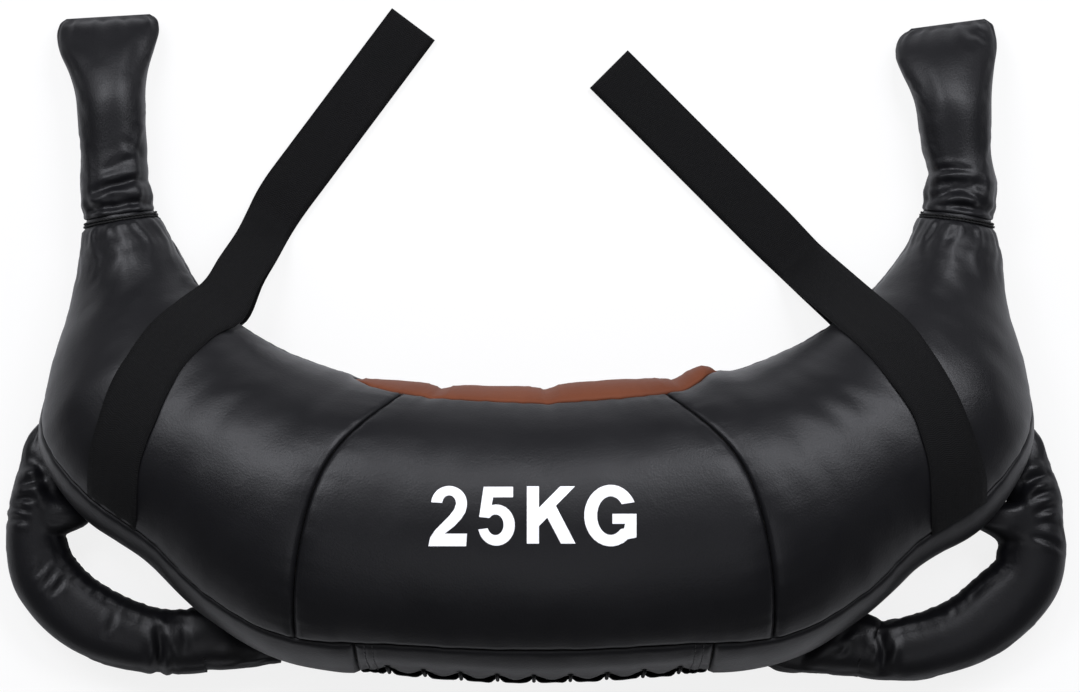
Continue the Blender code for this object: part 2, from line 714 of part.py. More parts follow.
def loop_sections(rows, thinner):
    """Centres, ways, half widths and half heights along a row of loop sections."""
    height = LOOP_LIFT + LOOP_BALL
    centres = [Vector((x * BAG_SPAN, y * BAG_SPAN, height)) for x, y, half in rows]
    sections = []
    for index, centre in enumerate(centres):
        way = centres[min(index + 1, len(centres) - 1)] - centres[max(index - 1, 0)]
        wide = rows[index][2] * BAG_SPAN
        sections.append((centre, way.normalized(), wide - thinner, min(wide, LOOP_BALL) - thinner))
    return sections


def ball_end(section, forward, thinner, turns):
    """Rings of a ball that ends a loop's tube; past the sleeve's mouth the core fills the whole ball."""
    centre, way, wide, high = section
    rings = []
    for turn in turns:
        added = thinner if turn > MOUTH_TURN else 0
        radius = LOOP_BALL - thinner + added
        rings.append(ring(centre + way * forward * radius * math.sin(turn), way, (wide + added) * math.cos(turn),
                          (high + added) * math.cos(turn), LOOP_SIDES))
    return rings


def loop_rings(rows, thinner, turns):
    sections = loop_sections(rows, thinner)
    rings = ball_end(sections[0], -1, thinner, turns)
    rings += [ring(*section, LOOP_SIDES) for section in sections]
    rings += ball_end(sections[-1], 1, thinner, turns[::-1])
    return sections[0][0], rings


def grab_loop(name, rows):
    mouth = [MOUTH_TURN, MOUTH_TURN * 2 / 3, MOUTH_TURN / 3]
    hinge, outer = loop_rings(rows, 0, mouth)
    hinge, inner = loop_rings(rows, LEATHER, mouth)
    finish(name + "_sleeve", *loft(outer + inner[::-1], wrapped=True), hinge, BLACK, 0.42)
    hinge, core = loop_rings(rows, LEATHER + LOOP_PADDING_GAP, ROOT_TURNS + mouth)
    finish(name + "_core", *loft(core), hinge, FOAM, 0.9)


def loop_root(name, rows, tube_end, tube_next):
    """A root sewn into the outer seam; it ends against the ball of the loop's tube."""
    end = Vector(tube_end) * BAG_SPAN
    away = (end - Vector(tube_next) * BAG_SPAN).normalized()
    meets = end + away * (LOOP_BALL + FACE_GAP)
    sections = loop_sections(rows, 0)
    last = (meets.to_3d() + Vector((0, 0, LOOP_LIFT + LOOP_BALL)), -away.to_3d(), sections[-1][2], sections[-1][3])
    rings = [ring(*section, LOOP_SIDES) for section in sections[:-1] + [last]]
    return finish(name, *loft(rings), Vector(), BLACK, 0.42)


grab_loop("left_loop", LEFT_LOOP_SHARES)
grab_loop("right_loop", RIGHT_LOOP_SHARES)
for side, tube_rows, upper_rows, lower_rows in (
        ("left", LEFT_LOOP_SHARES, LEFT_UPPER_ROOT_SHARES, LEFT_LOWER_ROOT_SHARES),
        ("right", RIGHT_LOOP_SHARES, RIGHT_UPPER_ROOT_SHARES, RIGHT_LOWER_ROOT_SHARES)):
    loop_root(side + "_loop_upper_root", upper_rows, tube_rows[0][:2], tube_rows[1][:2])
    loop_root(side + "_loop_lower_root", lower_rows, tube_rows[-1][:2], tube_rows[-2][:2])
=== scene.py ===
import json
import math

import bmesh
import bpy
import numpy as np
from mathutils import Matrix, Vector
from mathutils.bvhtree import BVHTree


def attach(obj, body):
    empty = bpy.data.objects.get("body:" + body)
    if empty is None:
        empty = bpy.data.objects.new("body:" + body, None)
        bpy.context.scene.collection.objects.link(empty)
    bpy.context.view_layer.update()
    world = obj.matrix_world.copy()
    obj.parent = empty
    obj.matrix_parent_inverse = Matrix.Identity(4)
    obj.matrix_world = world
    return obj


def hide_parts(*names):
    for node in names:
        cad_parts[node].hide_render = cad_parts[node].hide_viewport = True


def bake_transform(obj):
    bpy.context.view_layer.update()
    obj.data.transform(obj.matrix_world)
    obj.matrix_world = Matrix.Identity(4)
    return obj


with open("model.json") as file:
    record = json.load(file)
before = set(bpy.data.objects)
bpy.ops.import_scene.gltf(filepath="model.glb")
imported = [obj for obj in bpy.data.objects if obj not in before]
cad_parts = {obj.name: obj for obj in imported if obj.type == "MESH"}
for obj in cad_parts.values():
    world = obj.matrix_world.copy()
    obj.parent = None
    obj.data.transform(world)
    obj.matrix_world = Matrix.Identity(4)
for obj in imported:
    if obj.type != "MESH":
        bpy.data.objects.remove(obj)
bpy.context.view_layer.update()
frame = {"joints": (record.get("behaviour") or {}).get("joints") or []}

scene = bpy.context.scene
scene.view_settings.view_transform = "Standard"

# Studio. The camera looks straight down on the bag through a long lens, as the photograph does.
# A pale floor lies under the bag. Soft boxes and strips stand beyond the necks, and soft boxes at
# the two sides and above the closure.
PIXEL = 0.00078
PHOTO_WIDTH, PHOTO_HEIGHT = 1080, 692
ZERO_ACROSS, ZERO_DOWN = 534, 534
EDGE_HEIGHT = 0.030
LENS, SENSOR = 200, 36


def linked(name, data):
    """A new object in the scene."""
    made = bpy.data.objects.new(name, data)
    scene.collection.objects.link(made)
    return made


camera_data = bpy.data.cameras.new("camera")
camera_data.lens, camera_data.sensor_width = LENS, SENSOR
camera_data.clip_end = 50
camera = linked("camera", camera_data)
camera.location = ((PHOTO_WIDTH / 2 - ZERO_ACROSS) * PIXEL, (ZERO_DOWN - PHOTO_HEIGHT / 2) * PIXEL,
                   EDGE_HEIGHT + PHOTO_WIDTH * PIXEL * LENS / SENSOR)
scene.camera = camera


class Wire:
    """One socket in a node tree. Sums on it add Math nodes, and node() adds any other node."""

    def __init__(self, tree, socket=None):
        self.tree, self.socket = tree, socket

    def node(self, kind, settings=None, sockets=None, output=0):
        made = self.tree.nodes.new(kind if "Node" in kind else "ShaderNode" + kind)
        for key, value in (settings or {}).items():
            setattr(made, key, value)
        for key, value in (sockets or {}).items():
            if isinstance(value, Wire):
                self.tree.links.new(value.socket, made.inputs[key])
            else:
                made.inputs[key].default_value = value
        return Wire(self.tree, made.outputs[output])

    def maths(self, operation, *values):
        return self.node("Math", {"operation": operation}, dict(enumerate(values)))

    def __add__(self, other):
        return self.maths("ADD", self, other)

    __radd__ = __add__

    def __sub__(self, other):
        return self.maths("SUBTRACT", self, other)

    def __rsub__(self, other):
        return self.maths("SUBTRACT", other, self)

    def __mul__(self, other):
        return self.maths("MULTIPLY", self, other)

    __rmul__ = __mul__

    def __truediv__(self, other):
        return self.maths("DIVIDE", self, other)

    def held(self):
        """This wire, kept between 0 and 1."""
        return self.node("Clamp", None, {0: self})

    def between(self, first, second):
        """A colour between two others, by this wire."""
        first, second = (shade if isinstance(shade, Wire) else (*shade, 1) for shade in (first, second))
        return self.node("Mix", {"data_type": "RGBA"}, {0: self, 6: first, 7: second}, output=2)

    def noise(self, scale, detail, **more):
        """Noise over a piece, for a wire with places on it."""
        return self.node("TexNoise", None, {"Vector": self, "Scale": scale, "Detail": detail, **more}, "Fac")

    def bump(self, strength, distance):
        """The normals of a surface that has this wire as its height."""
        return self.node("Bump", None, {"Strength": strength, "Distance": distance, "Height": self}, "Normal")


LAMP_AIM = (0, 0.1, 0)
LAMP_COLOUR = (0.93, 0.94, 1.0)


def lamp(name, place, size, power):
    light = bpy.data.lights.new(name, "AREA")
    light.shape = "RECTANGLE"
    light.size, light.size_y = size
    light.energy = power
    light.color = LAMP_COLOUR
    made = linked(name, light)
    made.location = place
    made.rotation_euler = (Vector(LAMP_AIM) - Vector(place)).to_track_quat("-Z", "Y").to_euler()


lamp("soft_box_beyond_left", (-0.90, 1.35, 1.90), (0.8, 0.7), 26)
lamp("soft_box_beyond_right", (0.90, 1.35, 1.90), (0.8, 0.7), 22)
lamp("strip_beyond_left", (-0.42, 1.80, 1.90), (0.22, 0.7), 5)
lamp("strip_beyond_right", (0.42, 1.80, 1.90), (0.22, 0.7), 13)
lamp("soft_box_left", (-1.5, 0.9, 1.5), (0.5, 1.2), 8)
lamp("soft_box_right", (1.5, 0.9, 1.5), (0.5, 1.2), 10)
lamp("soft_box_above", (0, -0.9, 2.4), (1.6, 1.2), 8)

SKY = 0.10
world = bpy.data.worlds.new("studio_walls")
world.use_nodes = True
scene.world = world
walls = Wire(world.node_tree)
seen = walls.node("LightPath", output="Is Camera Ray")
backdrop = world.node_tree.nodes["Background"]
backdrop.inputs["Color"].default_value = (1, 1, 1, 1)
world.node_tree.links.new((seen * (1 - SKY) + SKY).socket, backdrop.inputs["Strength"])

FLOOR_REACH = 9
FLOOR_DROP = 0.0004
FLOOR_SHADE_SHARE = 0.16
floor_mesh = bpy.data.meshes.new("floor")
floor_corners = ((-1, -1), (1, -1), (1, 1), (-1, 1))
floor_places = [(x * FLOOR_REACH, y * FLOOR_REACH, -FLOOR_DROP) for x, y in floor_corners]
floor_mesh.from_pydata(floor_places, [], [(0, 1, 2, 3)])
floor = linked("floor", floor_mesh)
floor_look = bpy.data.materials.new("pale_floor")
floor_look.use_nodes = True
floor_shader = floor_look.node_tree.nodes["Principled BSDF"]
floor_shader.inputs["Base Color"].default_value = (0.86, 0.86, 0.86, 1)
floor_shader.inputs["Roughness"].default_value = 1
floor_wire = Wire(floor_look.node_tree)
glow = floor_wire.node("Emission", None, {"Color": (1, 1, 1, 1), "Strength": 1.0})
floor_seen = floor_wire.node("LightPath", output="Is Camera Ray") * (1 - FLOOR_SHADE_SHARE)
shaded = Wire(floor_look.node_tree, floor_shader.outputs[0])
mixed = floor_wire.node("MixShader", None, {0: floor_seen, 1: shaded, 2: glow})
floor_look.node_tree.links.new(mixed.socket, floor_look.node_tree.nodes["Material Output"].inputs["Surface"])
floor_mesh.materials.append(floor_look)


# Leather cover. Black imitation leather cut as three front panels, three back panels, two gusset
# strips and two closure flaps, with a rust pad along the neck side; sewn inside out, then turned
# and filled hard, so every seam is a sharp valley with small puckers running off it.
SPAN = 0.830
LEATHER = 0.0015
LAST = 9
SEAM_AT, CLOSURE_AT, GUSSET_TIP, PAD_END = 2.0, 1.42, 6.9, 3.05
PAD_ANGLE, SLIT_ANGLE, HOLE_ANGLE, TONGUE_ANGLE = (math.radians(a) for a in (24, 3, 8, 15))
STEP = 0.004
ROUND_TOP, ROUND_BELOW, WIDEST_AT = 2.1, 2.8, 0.42
RIGHT_WING_OUT, UNDERSIDE, BELLY_SINKS = 0.0085, 0.0036, 0.006

# Inner edge x and y, outer edge x and y, bulge and height at each station, in parts of the span.
PARTS = 10000
BODY_SHARES = np.array((
    (0, 1372, 0, -1382, 0, 2169),
    (592, 1391, 1156, -1325, 263, 2145),
    (1184, 1429, 2303, -1175, 423, 2072),
    (1692, 1485, 3055, -761, 395, 1928),
    (2115, 1635, 3609, -263, 338, 1759),
    (2462, 1795, 4201, 103, 282, 1614),
    (2773, 1992, 4586, 771, 235, 1446),
    (3036, 2218, 4530, 1504, 150, 1205),
    (3271, 2500, 4361, 2218, 75, 916),
    (3581, 3092, 4229, 2998, 0, 675),
)) / PARTS
LOWER_SEAM_DEGREES = np.array((137.6, 139.8, 145.2, 147.0, 146.0, 144.0, 156.0, 180.0, 180.0, 180.0))[:, None]
WHOLE_BODY = np.vstack([BODY_SHARES[:0:-1] * (-1, 1, -1, 1, -1, 1), BODY_SHARES])


def row_at(rows, place):
    """Smooth values of a table at places counted in rows, run on straight past its ends."""
    padded = np.vstack([2 * rows[0] - rows[1], rows, 2 * rows[-1] - rows[-2], 2 * rows[-1] - rows[-3]])
    low = np.floor(place).astype(int)
    part = (place - low)[..., None]
    before, start, end, after = (padded[np.clip(low + shift, 0, len(padded) - 1)] for shift in range(4))
    return start + part / 2 * (end - before + part * (2 * before - 5 * start + 4 * end - after
                                                      + part * (3 * (start - end) + after - before)))


def soft_step(value, start, end):
    part = np.clip((value - start) / (end - start), 0, 1)
    return part * part * (3 - 2 * part)


def crossed(across, along):
    """Every pair of two rows of numbers, as two grids."""
    return np.meshgrid(across, along, indexing="ij")


def unit(vectors):
    return vectors / np.linalg.norm(vectors, axis=-1, keepdims=True)


def station(t):
    """Inner edge, outer edge, bulge and height at a station."""
    rows = row_at(WHOLE_BODY, t + LAST)
    spread = RIGHT_WING_OUT * np.clip(t / LAST, 0, None) ** 2
    flat = np.zeros_like(t)
    inner = np.stack([rows[..., 0] + spread, rows[..., 1], flat], -1) * SPAN
    outer = np.stack([rows[..., 2] + spread, rows[..., 3], flat], -1) * SPAN
    return inner, outer, rows[..., 4:5] * SPAN, rows[..., 5] * SPAN


def plan(t, across):
    """The place on the floor below a share of the way from the inner edge to the outer one."""
    inner, outer, bulge, top = station(t)
    way = unit(outer - inner)
    share = across[..., None]
    side = np.stack([-way[..., 1], way[..., 0], way[..., 2]], -1)
    return inner + (outer - inner) * share + side * bulge * 4 * share * (1 - share)


def floor_rest(t):
    """The height of the underside: the wings lie on the webbing, the middle on the floor."""
    return UNDERSIDE * soft_step(np.abs(t), 3.1, 4.0)


def face(t, turn):
    """The smooth cover: turn runs from the inner edge over the top to the outer edge and back below."""
    t, turn = np.broadcast_arrays(np.asarray(t, float), np.asarray(turn, float))
    top = station(t)[3]
    rises = np.sin(turn) >= 0
    power = np.where(rises, ROUND_TOP, ROUND_BELOW)
    side, lift = np.cos(turn), np.sin(turn)
    reach = (np.abs(side) ** power + np.abs(lift) ** power) ** (-1 / power)
    point = plan(t, (1 - reach * side) / 2)
    widest = WIDEST_AT * top
    ground = floor_rest(t)
    above = widest + (top - widest) * reach * lift
    below = np.maximum(ground, widest + (widest - ground + BELLY_SINKS) * reach * lift)
    point[..., 2] = np.where(rises, above, below)
    return point


def outward(t, turn):
    along = face(t + STEP, turn) - face(t - STEP, turn)
    around = face(t, turn + STEP) - face(t, turn - STEP)
    return unit(np.cross(around, along))


def paces(t, turn):
    """Metres over the cover for one step of turn and for one station."""
    around = np.linalg.norm(face(t, turn + STEP) - face(t, turn - STEP), axis=-1) / (2 * STEP)
    along = np.linalg.norm(face(t + STEP, turn) - face(t - STEP, turn), axis=-1) / (2 * STEP)
    return around, along


def lower_seam(t):
    return np.radians(np.minimum(180, row_at(LOWER_SEAM_DEGREES, np.abs(t))[..., 0]))


def inner_seam(t):
    return PAD_ANGLE * np.maximum(0, 1 - (np.abs(t) / PAD_END) ** 8)


def folded(turn):
    """The turn away from the inner edge, the same above and below."""
    return math.pi - np.abs(np.mod(turn, 2 * math.pi) - math.pi)


def seam_gaps(t, turn):
    """Distances over the leather to the nearest lengthwise seam and the nearest crosswise one."""
    t, turn = np.broadcast_arrays(np.asarray(t, float), np.asarray(turn, float))
    around, along = paces(t, turn)
    fold = folded(turn)
    low, high = inner_seam(t), lower_seam(t)
    lengthwise = np.minimum(np.abs(fold - low), np.abs(fold - high)) * around
    panel = np.abs(np.abs(t) - SEAM_AT) * along + np.where((fold > low) & (fold < high), 0, 1)
    gusset = np.abs(np.abs(t) - CLOSURE_AT) * along + np.where(fold > high, 0, 1)
    return lengthwise, np.minimum(panel, gusset)


PRESSURE, CLOTH_STEPS, CLOTH_LEVELS, UNEVEN = 20, 16, 10, 0.0004


def inflate(points, faces, pinned, loose, growth):
    """Cloth simulation of a closed skin that is slightly too large near its seams and blown up."""
    mesh = bpy.data.meshes.new("skin")
    mesh.from_pydata([tuple(point) for point in points], [], faces)
    skin = linked("skin", mesh)
    for name, weights in (("pinned", pinned), ("loose", loose)):
        group = skin.vertex_groups.new(name=name)
        for level in range(1, CLOTH_LEVELS + 1):
            chosen = np.nonzero(np.round(weights * CLOTH_LEVELS).astype(int) == level)[0]
            group.add(chosen.tolist(), level / CLOTH_LEVELS, "REPLACE")
    cloth = skin.modifiers.new("cloth", "CLOTH")
    settings = cloth.settings
    settings.quality = 4
    settings.mass = 0.02
    settings.bending_stiffness = 0.02
    settings.use_pressure = True
    settings.uniform_pressure_force = PRESSURE
    settings.vertex_group_mass = "pinned"
    settings.vertex_group_shrink = "loose"
    settings.shrink_min, settings.shrink_max = 0, -growth
    settings.effector_weights.gravity = 0
    cloth.collision_settings.use_collision = False
    cloth.point_cache.frame_start, cloth.point_cache.frame_end = 1, CLOTH_STEPS
    for step in range(1, CLOTH_STEPS + 1):
        scene.frame_set(step)
    shaped = skin.evaluated_get(bpy.context.evaluated_depsgraph_get()).to_mesh()
    moved = np.zeros(len(points) * 3)
    shaped.vertices.foreach_get("co", moved)
    scene.frame_set(1)
    bpy.data.objects.remove(skin)
    bpy.data.meshes.remove(mesh)
    return moved.reshape(-1, 3)


def ring_quads(index):
    """Faces round a grid of point numbers, one row to a ring."""
    turned = np.roll(index, -1, axis=1)
    return np.stack([index[:-1], turned[:-1], turned[1:], index[1:]], -1).reshape(-1, 4).tolist()


def relaxed_lift(points, normals, held, slack, growth, seed, smoothings):
    """How far a relaxed skin lies beyond its rings of points, along their normals."""
    uneven = np.random.default_rng(seed).normal(0, 1, held.shape)
    for _ in range(smoothings):
        uneven = (uneven + np.roll(uneven, 1, 1) + np.roll(uneven, -1, 1)) / 3
        uneven[1:-1] = (uneven[1:-1] + uneven[2:] + uneven[:-2]) / 3
    begun = points + normals * (uneven * UNEVEN / uneven.std() * (1 - held))[..., None]
    index = np.arange(held.size).reshape(held.shape)
    faces = ring_quads(index) + [tuple(reversed(index[0].tolist())), tuple(index[-1].tolist())]
    relaxed = inflate(begun.reshape(-1, 3), faces, held.ravel(), slack.ravel(), growth)
    return ((relaxed.reshape(points.shape) - points) * normals).sum(-1)


def hump(value, middle, width):
    return np.exp(-((value - middle) / width) ** 2)


COLUMNS, ROWS = 205, 96
SKIN_GROWTH, SKIN_PUFF, SKIN_LIMITS = 0.12, 0.7, (-0.0010, 0.0022)
puffed = np.zeros((COLUMNS, ROWS))
grid_t, grid_turn = crossed(np.linspace(-LAST, LAST, COLUMNS), np.arange(ROWS) * 2 * math.pi / ROWS)
grid_start = face(grid_t, grid_turn)
nearest = np.minimum(*seam_gaps(grid_t, grid_turn))
held = np.clip(1.6 - nearest / 0.0040, 0, 1)
held[np.abs(grid_t) > 8.85] = 1
held[grid_start[..., 2] < 0.0045] = 1
slack = np.maximum(hump(nearest, 0, 0.030), 0.6 * soft_step(np.abs(grid_t), 7.6, 8.8))
puffed = relaxed_lift(grid_start, outward(grid_t, grid_turn), held, slack, SKIN_GROWTH, seed=7,
                      smoothings=3)
puffed = np.clip(puffed * SKIN_PUFF, *SKIN_LIMITS)


def swell(t, turn):
    """Puff of the relaxed skin at a place on the cover."""
    across = np.clip((t + LAST) / (2 * LAST) * (COLUMNS - 1), 0, COLUMNS - 1.001)
    round_it = np.mod(turn, 2 * math.pi) / (2 * math.pi) * ROWS
    column, row = np.floor(across).astype(int), np.floor(round_it).astype(int) % ROWS
    u, v = across - column, round_it - np.floor(round_it)
    following = (row + 1) % ROWS
    return (puffed[column, row] * (1 - u) * (1 - v) + puffed[column + 1, row] * u * (1 - v)
            + puffed[column, following] * (1 - u) * v + puffed[column + 1, following] * u * v)


def ripple(place, length, shift=0):
    """Uneven waves of about a given length, from -1 to 1."""
    turn = 2 * math.pi * place / length + shift
    return 0.5 * np.sin(turn) + 0.3 * np.sin(turn * 1.73 + 1.1 + shift) + 0.2 * np.sin(turn * 0.61 + 2.3)


# Places along the bag are in stations, and heights and depths in metres.
LACE_PITCH = 0.293
STITCH_ROWS = (1.330, 1.262)
PAD_CREASES = (-2.94, -1.47, 0.19, 2.30, 3.03)
TIE_AT = 8.87
SEAM_DENTS = ((0.0019, 0.0019), (0.0008, 0.010))
PUCKER, CROSS_PUCKER, GATHER, CROSS_GATHER = 0.00045, 0.00035, 0.0009, 0.0004
NECK_RIDGE, NECK_GROOVE, LOOP_DRAW = 0.0026, 0.0016, 0.0050
PAD_LIFT, PAD_SLANT, PAD_CREASE, PAD_FAN, PAD_PULL = 0.0026, 0.0017, 0.0052, 0.0006, 0.0014
FRONT_FLAP_LOBE, FRONT_FLAP_IN, BACK_FLAP_IN, BACK_FLAP_PULL = 0.0018, 0.0054, 0.0014, 0.0036
STITCH_PULL = 0.0007
NECK_LEANS = ((8.45, 0.30, -0.0030), (-8.1, 0.6, 0.0018))
WING_BULGES = ((-6.3, 0.6, 0.0026), (6.8, 0.8, 0.0036))
NECK_SIDE_BULGES = ((2.82, 0.42, 0.0066), (-3.2, 0.6, 0.0020))


def humps(t, places):
    """Humps along the stations: middle, width and height of each."""
    return sum(height * hump(t, middle, width) for middle, width, height in places)


def seam_bend(t, turn):
    """The crosswise seams aren't cut straight: both edges of the middle panel are a little narrower."""
    lean = 0.13 * (1 - hump(folded(turn), 1.1, 0.5))
    return t - np.sign(t) * lean * hump(np.abs(t), SEAM_AT, 0.5)


def cover(t, turn):
    """A place on the real cover, with its seams, puckers and folds, and its distance to a seam."""
    t, turn = np.broadcast_arrays(np.asarray(t, float), np.asarray(turn, float))
    laid = seam_bend(t, turn)
    lengthwise, crosswise = seam_gaps(t, turn)
    gap = np.minimum(lengthwise, crosswise)
    wrapped = np.mod(turn, 2 * math.pi)
    fold = folded(turn)
    far = np.abs(t)
    lift = swell(t, turn)
    for depth, width in SEAM_DENTS:
        lift = lift - depth * hump(gap, 0, width)
    lift += PUCKER * np.exp(-lengthwise / 0.014) * ripple(t, 0.34, np.sign(np.sin(turn)))
    lift += CROSS_PUCKER * np.exp(-crosswise / 0.012) * ripple(turn, 0.15, t)
    # Gathers run down from the bindings at the necks, which lie in a groove below the grips.
    groove = soft_step(far, TIE_AT - 0.070, TIE_AT - 0.035)
    gather = soft_step(far, 7.9, 8.75) * (1 - 0.9 * groove)
    fine = turn + 0.10 * np.sin(far * 9 + turn)
    lift += gather * GATHER * ripple(fine, 0.40, t * 0.9)
    lift += gather * CROSS_GATHER * ripple(far + 0.10 * np.sin(turn * 2 + t), 0.23)
    lift += NECK_RIDGE * soft_step(far, 7.2, 8.5) * hump(turn, 1.5, 0.30) * (1 - groove)
    lift += 0.0004 * hump(far, 8.72, 0.07) * (1 - groove)
    lift -= NECK_GROOVE * groove
    # Both necks lean to the right a little, and the bag draws in above the left loop.
    lift += np.cos(turn) * humps(t, NECK_LEANS)
    lift -= LOOP_DRAW * hump(wrapped, 3.4, 0.8) * hump(t, -4.75, 0.60)
    # The wings bulge where their outer sides are widest, and the neck side beyond the ends of the pad.
    lift += humps(t, WING_BULGES) * hump(fold, math.pi, 0.6)
    lift += humps(t, NECK_SIDE_BULGES) * hump(fold, 0, 0.7)
    # The rust pad is quilted in lobes between deep creases.
    on_pad = np.clip(1 - (fold / np.maximum(inner_seam(t), 0.02)) ** 4, 0, 1) * (far < PAD_END)
    crease = sum(np.exp(-np.sqrt((t - at) ** 2 + 0.0009) / 0.17) for at in PAD_CREASES)
    fans = sum(hump(t, at, 0.30) * ripple(t - at, 0.16) for at in PAD_CREASES)
    lift += on_pad * (PAD_LIFT + PAD_SLANT * np.tanh(t / 0.4) - PAD_CREASE * crease + PAD_FAN * fans)
    lift -= PAD_PULL * hump(fold, inner_seam(t), 0.16) * (far < PAD_END) * (1 - on_pad) * crease
    # The front flap swells between the laces, which pull it in; the back flap lies proud of it.
    flap = soft_step(fold, *np.radians((148, 167))) * soft_step(CLOSURE_AT - far, 0, 0.08)
    lobe = 0.5 - 0.5 * np.cos(2 * math.pi * t / LACE_PITCH)
    behind = soft_step(wrapped, *np.radians((178, 182)))
    lift += flap * (1 - behind) * (FRONT_FLAP_LOBE * lobe - FRONT_FLAP_IN)
    lift += flap * behind * (0.0004 * ripple(t, 0.21) - BACK_FLAP_IN - BACK_FLAP_PULL * (1 - lobe) ** 8)
    # Two rows of stitches beside each end of the closure draw the leather in.
    for row in STITCH_ROWS:
        lift -= STITCH_PULL * hump(far, row, 0.014) * (fold > lower_seam(t))
    point = face(laid, turn) + outward(laid, turn) * lift[..., None]
    point[..., 2] = np.maximum(point[..., 2], floor_rest(t))
    return point, gap


def look(name, build, shine):
    """A material: build gives what varies over the piece, and shine is its specular level."""
    made = bpy.data.materials.new(name)
    made.use_nodes = True
    shader = made.node_tree.nodes["Principled BSDF"]
    shader.inputs["Specular IOR Level"].default_value = shine
    for key, value in build(Wire(made.node_tree).node("TexCoord", output="Object")).items():
        made.node_tree.links.new(value.socket, shader.inputs[key])
    return made


def leather(light, dark, dull):
    """Coated leather: fine pebbled grain, faint clouds of colour, and duller valleys at the seams, with
    painted shade in the valleys and a painted highlight along their sides.
    """
    def build(place):
        clouds = place.noise(14, 4, Roughness=0.6)
        pebbles = place.node("TexVoronoi", {"feature": "SMOOTH_F1"},
                             {"Vector": place, "Scale": 620, "Smoothness": 0.4})
        pores = place.noise(1900, 2)
        creases = place.noise(70, 5, Distortion=1.2)
        seam = place.node("Attribute", {"attribute_name": "seam"}, output="Fac")
        valley = 1 - (seam / VALLEY).held()
        # Painted highlight: a lighter, cloudy band along the sides of each seam valley.
        seam_side_highlight = (valley * (1 - valley) * 4).held() * clouds
        tone = (clouds * 1.3 - 0.15).held().between(dark, light)
        # Painted shade: the colour darkens towards the bottom of each seam valley.
        colour = (valley * 0.75).held().between(tone, tuple(c * 0.35 for c in dark))
        colour = (seam_side_highlight * 0.18).between(colour, tuple(c * 3 for c in light))
        rough = dull + (clouds - 0.5) * 0.16 + pores * 0.05 + valley * 0.18
        grain = pebbles * 0.55 + pores * 0.20 + creases * 1.1
        return {"Base Color": colour, "Roughness": rough, "Normal": grain.bump(0.55, 0.00022)}
    return build


VALLEY = 0.0030
black_leather = look("black_leather", leather((0.0060, 0.0060, 0.0072), (0.0038, 0.0038, 0.0048), 0.38), 0.26)
rust_leather = look("rust_leather", leather((0.158, 0.048, 0.021), (0.108, 0.031, 0.014), 0.60), 0.15)


def place_piece(name, mesh, material, body, slot, *nodes):
    """A piece that rides on a body, or that stays unattached where body is None."""
    made = linked(name, mesh)
    mesh.materials.append(material)
    mesh.polygons.foreach_set("use_smooth", [True] * len(mesh.polygons))
    if body:
        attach(made, body)
    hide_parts(*nodes)
    return made


def keep_seam(mesh, gap):
    """Keep each point's distance to a seam for the material."""
    mesh.attributes.new("seam", "FLOAT", "POINT").data.foreach_set("value", gap.astype(np.float32).ravel())


def grid_mesh(name, points, gap=None):
    columns, rows = points.shape[:2]
    index = np.arange(columns * rows).reshape(columns, rows)
    quads = np.stack([index[:-1, :-1], index[:-1, 1:], index[1:, 1:], index[1:, :-1]], -1).reshape(-1, 4)
    mesh = bpy.data.meshes.new(name)
    mesh.from_pydata(points.reshape(-1, 3).tolist(), [], quads.tolist())
    if gap is not None:
        keep_seam(mesh, gap)
    return mesh


def thicken(piece, thickness, offset=-1):
    solid = piece.modifiers.new("thickness", "SOLIDIFY")
    solid.thickness, solid.offset, solid.use_even_offset = thickness, offset, False


EDGE = 0.00015


def panel(name, node, start, end, low, high, columns, rows,
          material=black_leather, slot="black_leather", hem=None):
    """One cut piece of leather between two stations and two seams."""
    t = np.linspace(start, end, columns)[:, None] + np.zeros((1, rows))
    share = 0.5 - 0.5 * np.cos(np.linspace(0, math.pi, rows))[None, :]
    share = 0.35 * share + 0.65 * np.linspace(0, 1, rows)[None, :]
    first, last = low(t), high(t)
    middle = (first + last) / 2
    around, along = paces(t, middle)
    room = np.minimum(EDGE / around, (last - first) * 0.2)
    turn = (first + room) + (last - first - 2 * room) * share
    t = t + np.linspace(1, -1, columns)[:, None] * EDGE / along
    points, gap = cover(t, turn)
    if hem:
        gap = np.minimum(gap, np.abs(turn - hem(t)) * around + 0.0012)
    made = place_piece(name, grid_mesh(name, points, gap), material, "bag", slot, node)
    thicken(made, LEATHER)
    return made


def below(edge):
    return lambda t: 2 * math.pi - edge(t)


above = (inner_seam, lower_seam)
beneath = (below(lower_seam), below(inner_seam))
whole_pad = (lambda t: -inner_seam(t), inner_seam)
strip = (lower_seam, below(lower_seam))
for name, node, start, end, seams, columns, rows, *rust in (
        ("front_panel_centre", "front_centre_panel", -SEAM_AT, SEAM_AT, above, 110, 84),
        ("front_panel_left", "front_left_panel", -LAST, -SEAM_AT, above, 130, 80),
        ("front_panel_right", "front_right_panel", SEAM_AT, LAST, above, 130, 80),
        ("back_panel_centre", "back_centre_panel", -SEAM_AT, SEAM_AT, beneath, 90, 60),
        ("back_panel_left", "back_left_panel", -LAST, -SEAM_AT, beneath, 110, 60),
        ("back_panel_right", "back_right_panel", SEAM_AT, LAST, beneath, 110, 60),
        ("rust_neck_pad", "neck_pad", -PAD_END + 0.01, PAD_END - 0.01, whole_pad, 150, 26,
         rust_leather, "rust_leather"),
        ("gusset_strip_left", "gusset_left", -GUSSET_TIP + 0.05, -CLOSURE_AT, strip, 110, 30),
        ("gusset_strip_right", "gusset_right", CLOSURE_AT, GUSSET_TIP - 0.05, strip, 110, 30)):
    panel(name, node, start, end, *seams, columns, rows, *rust)


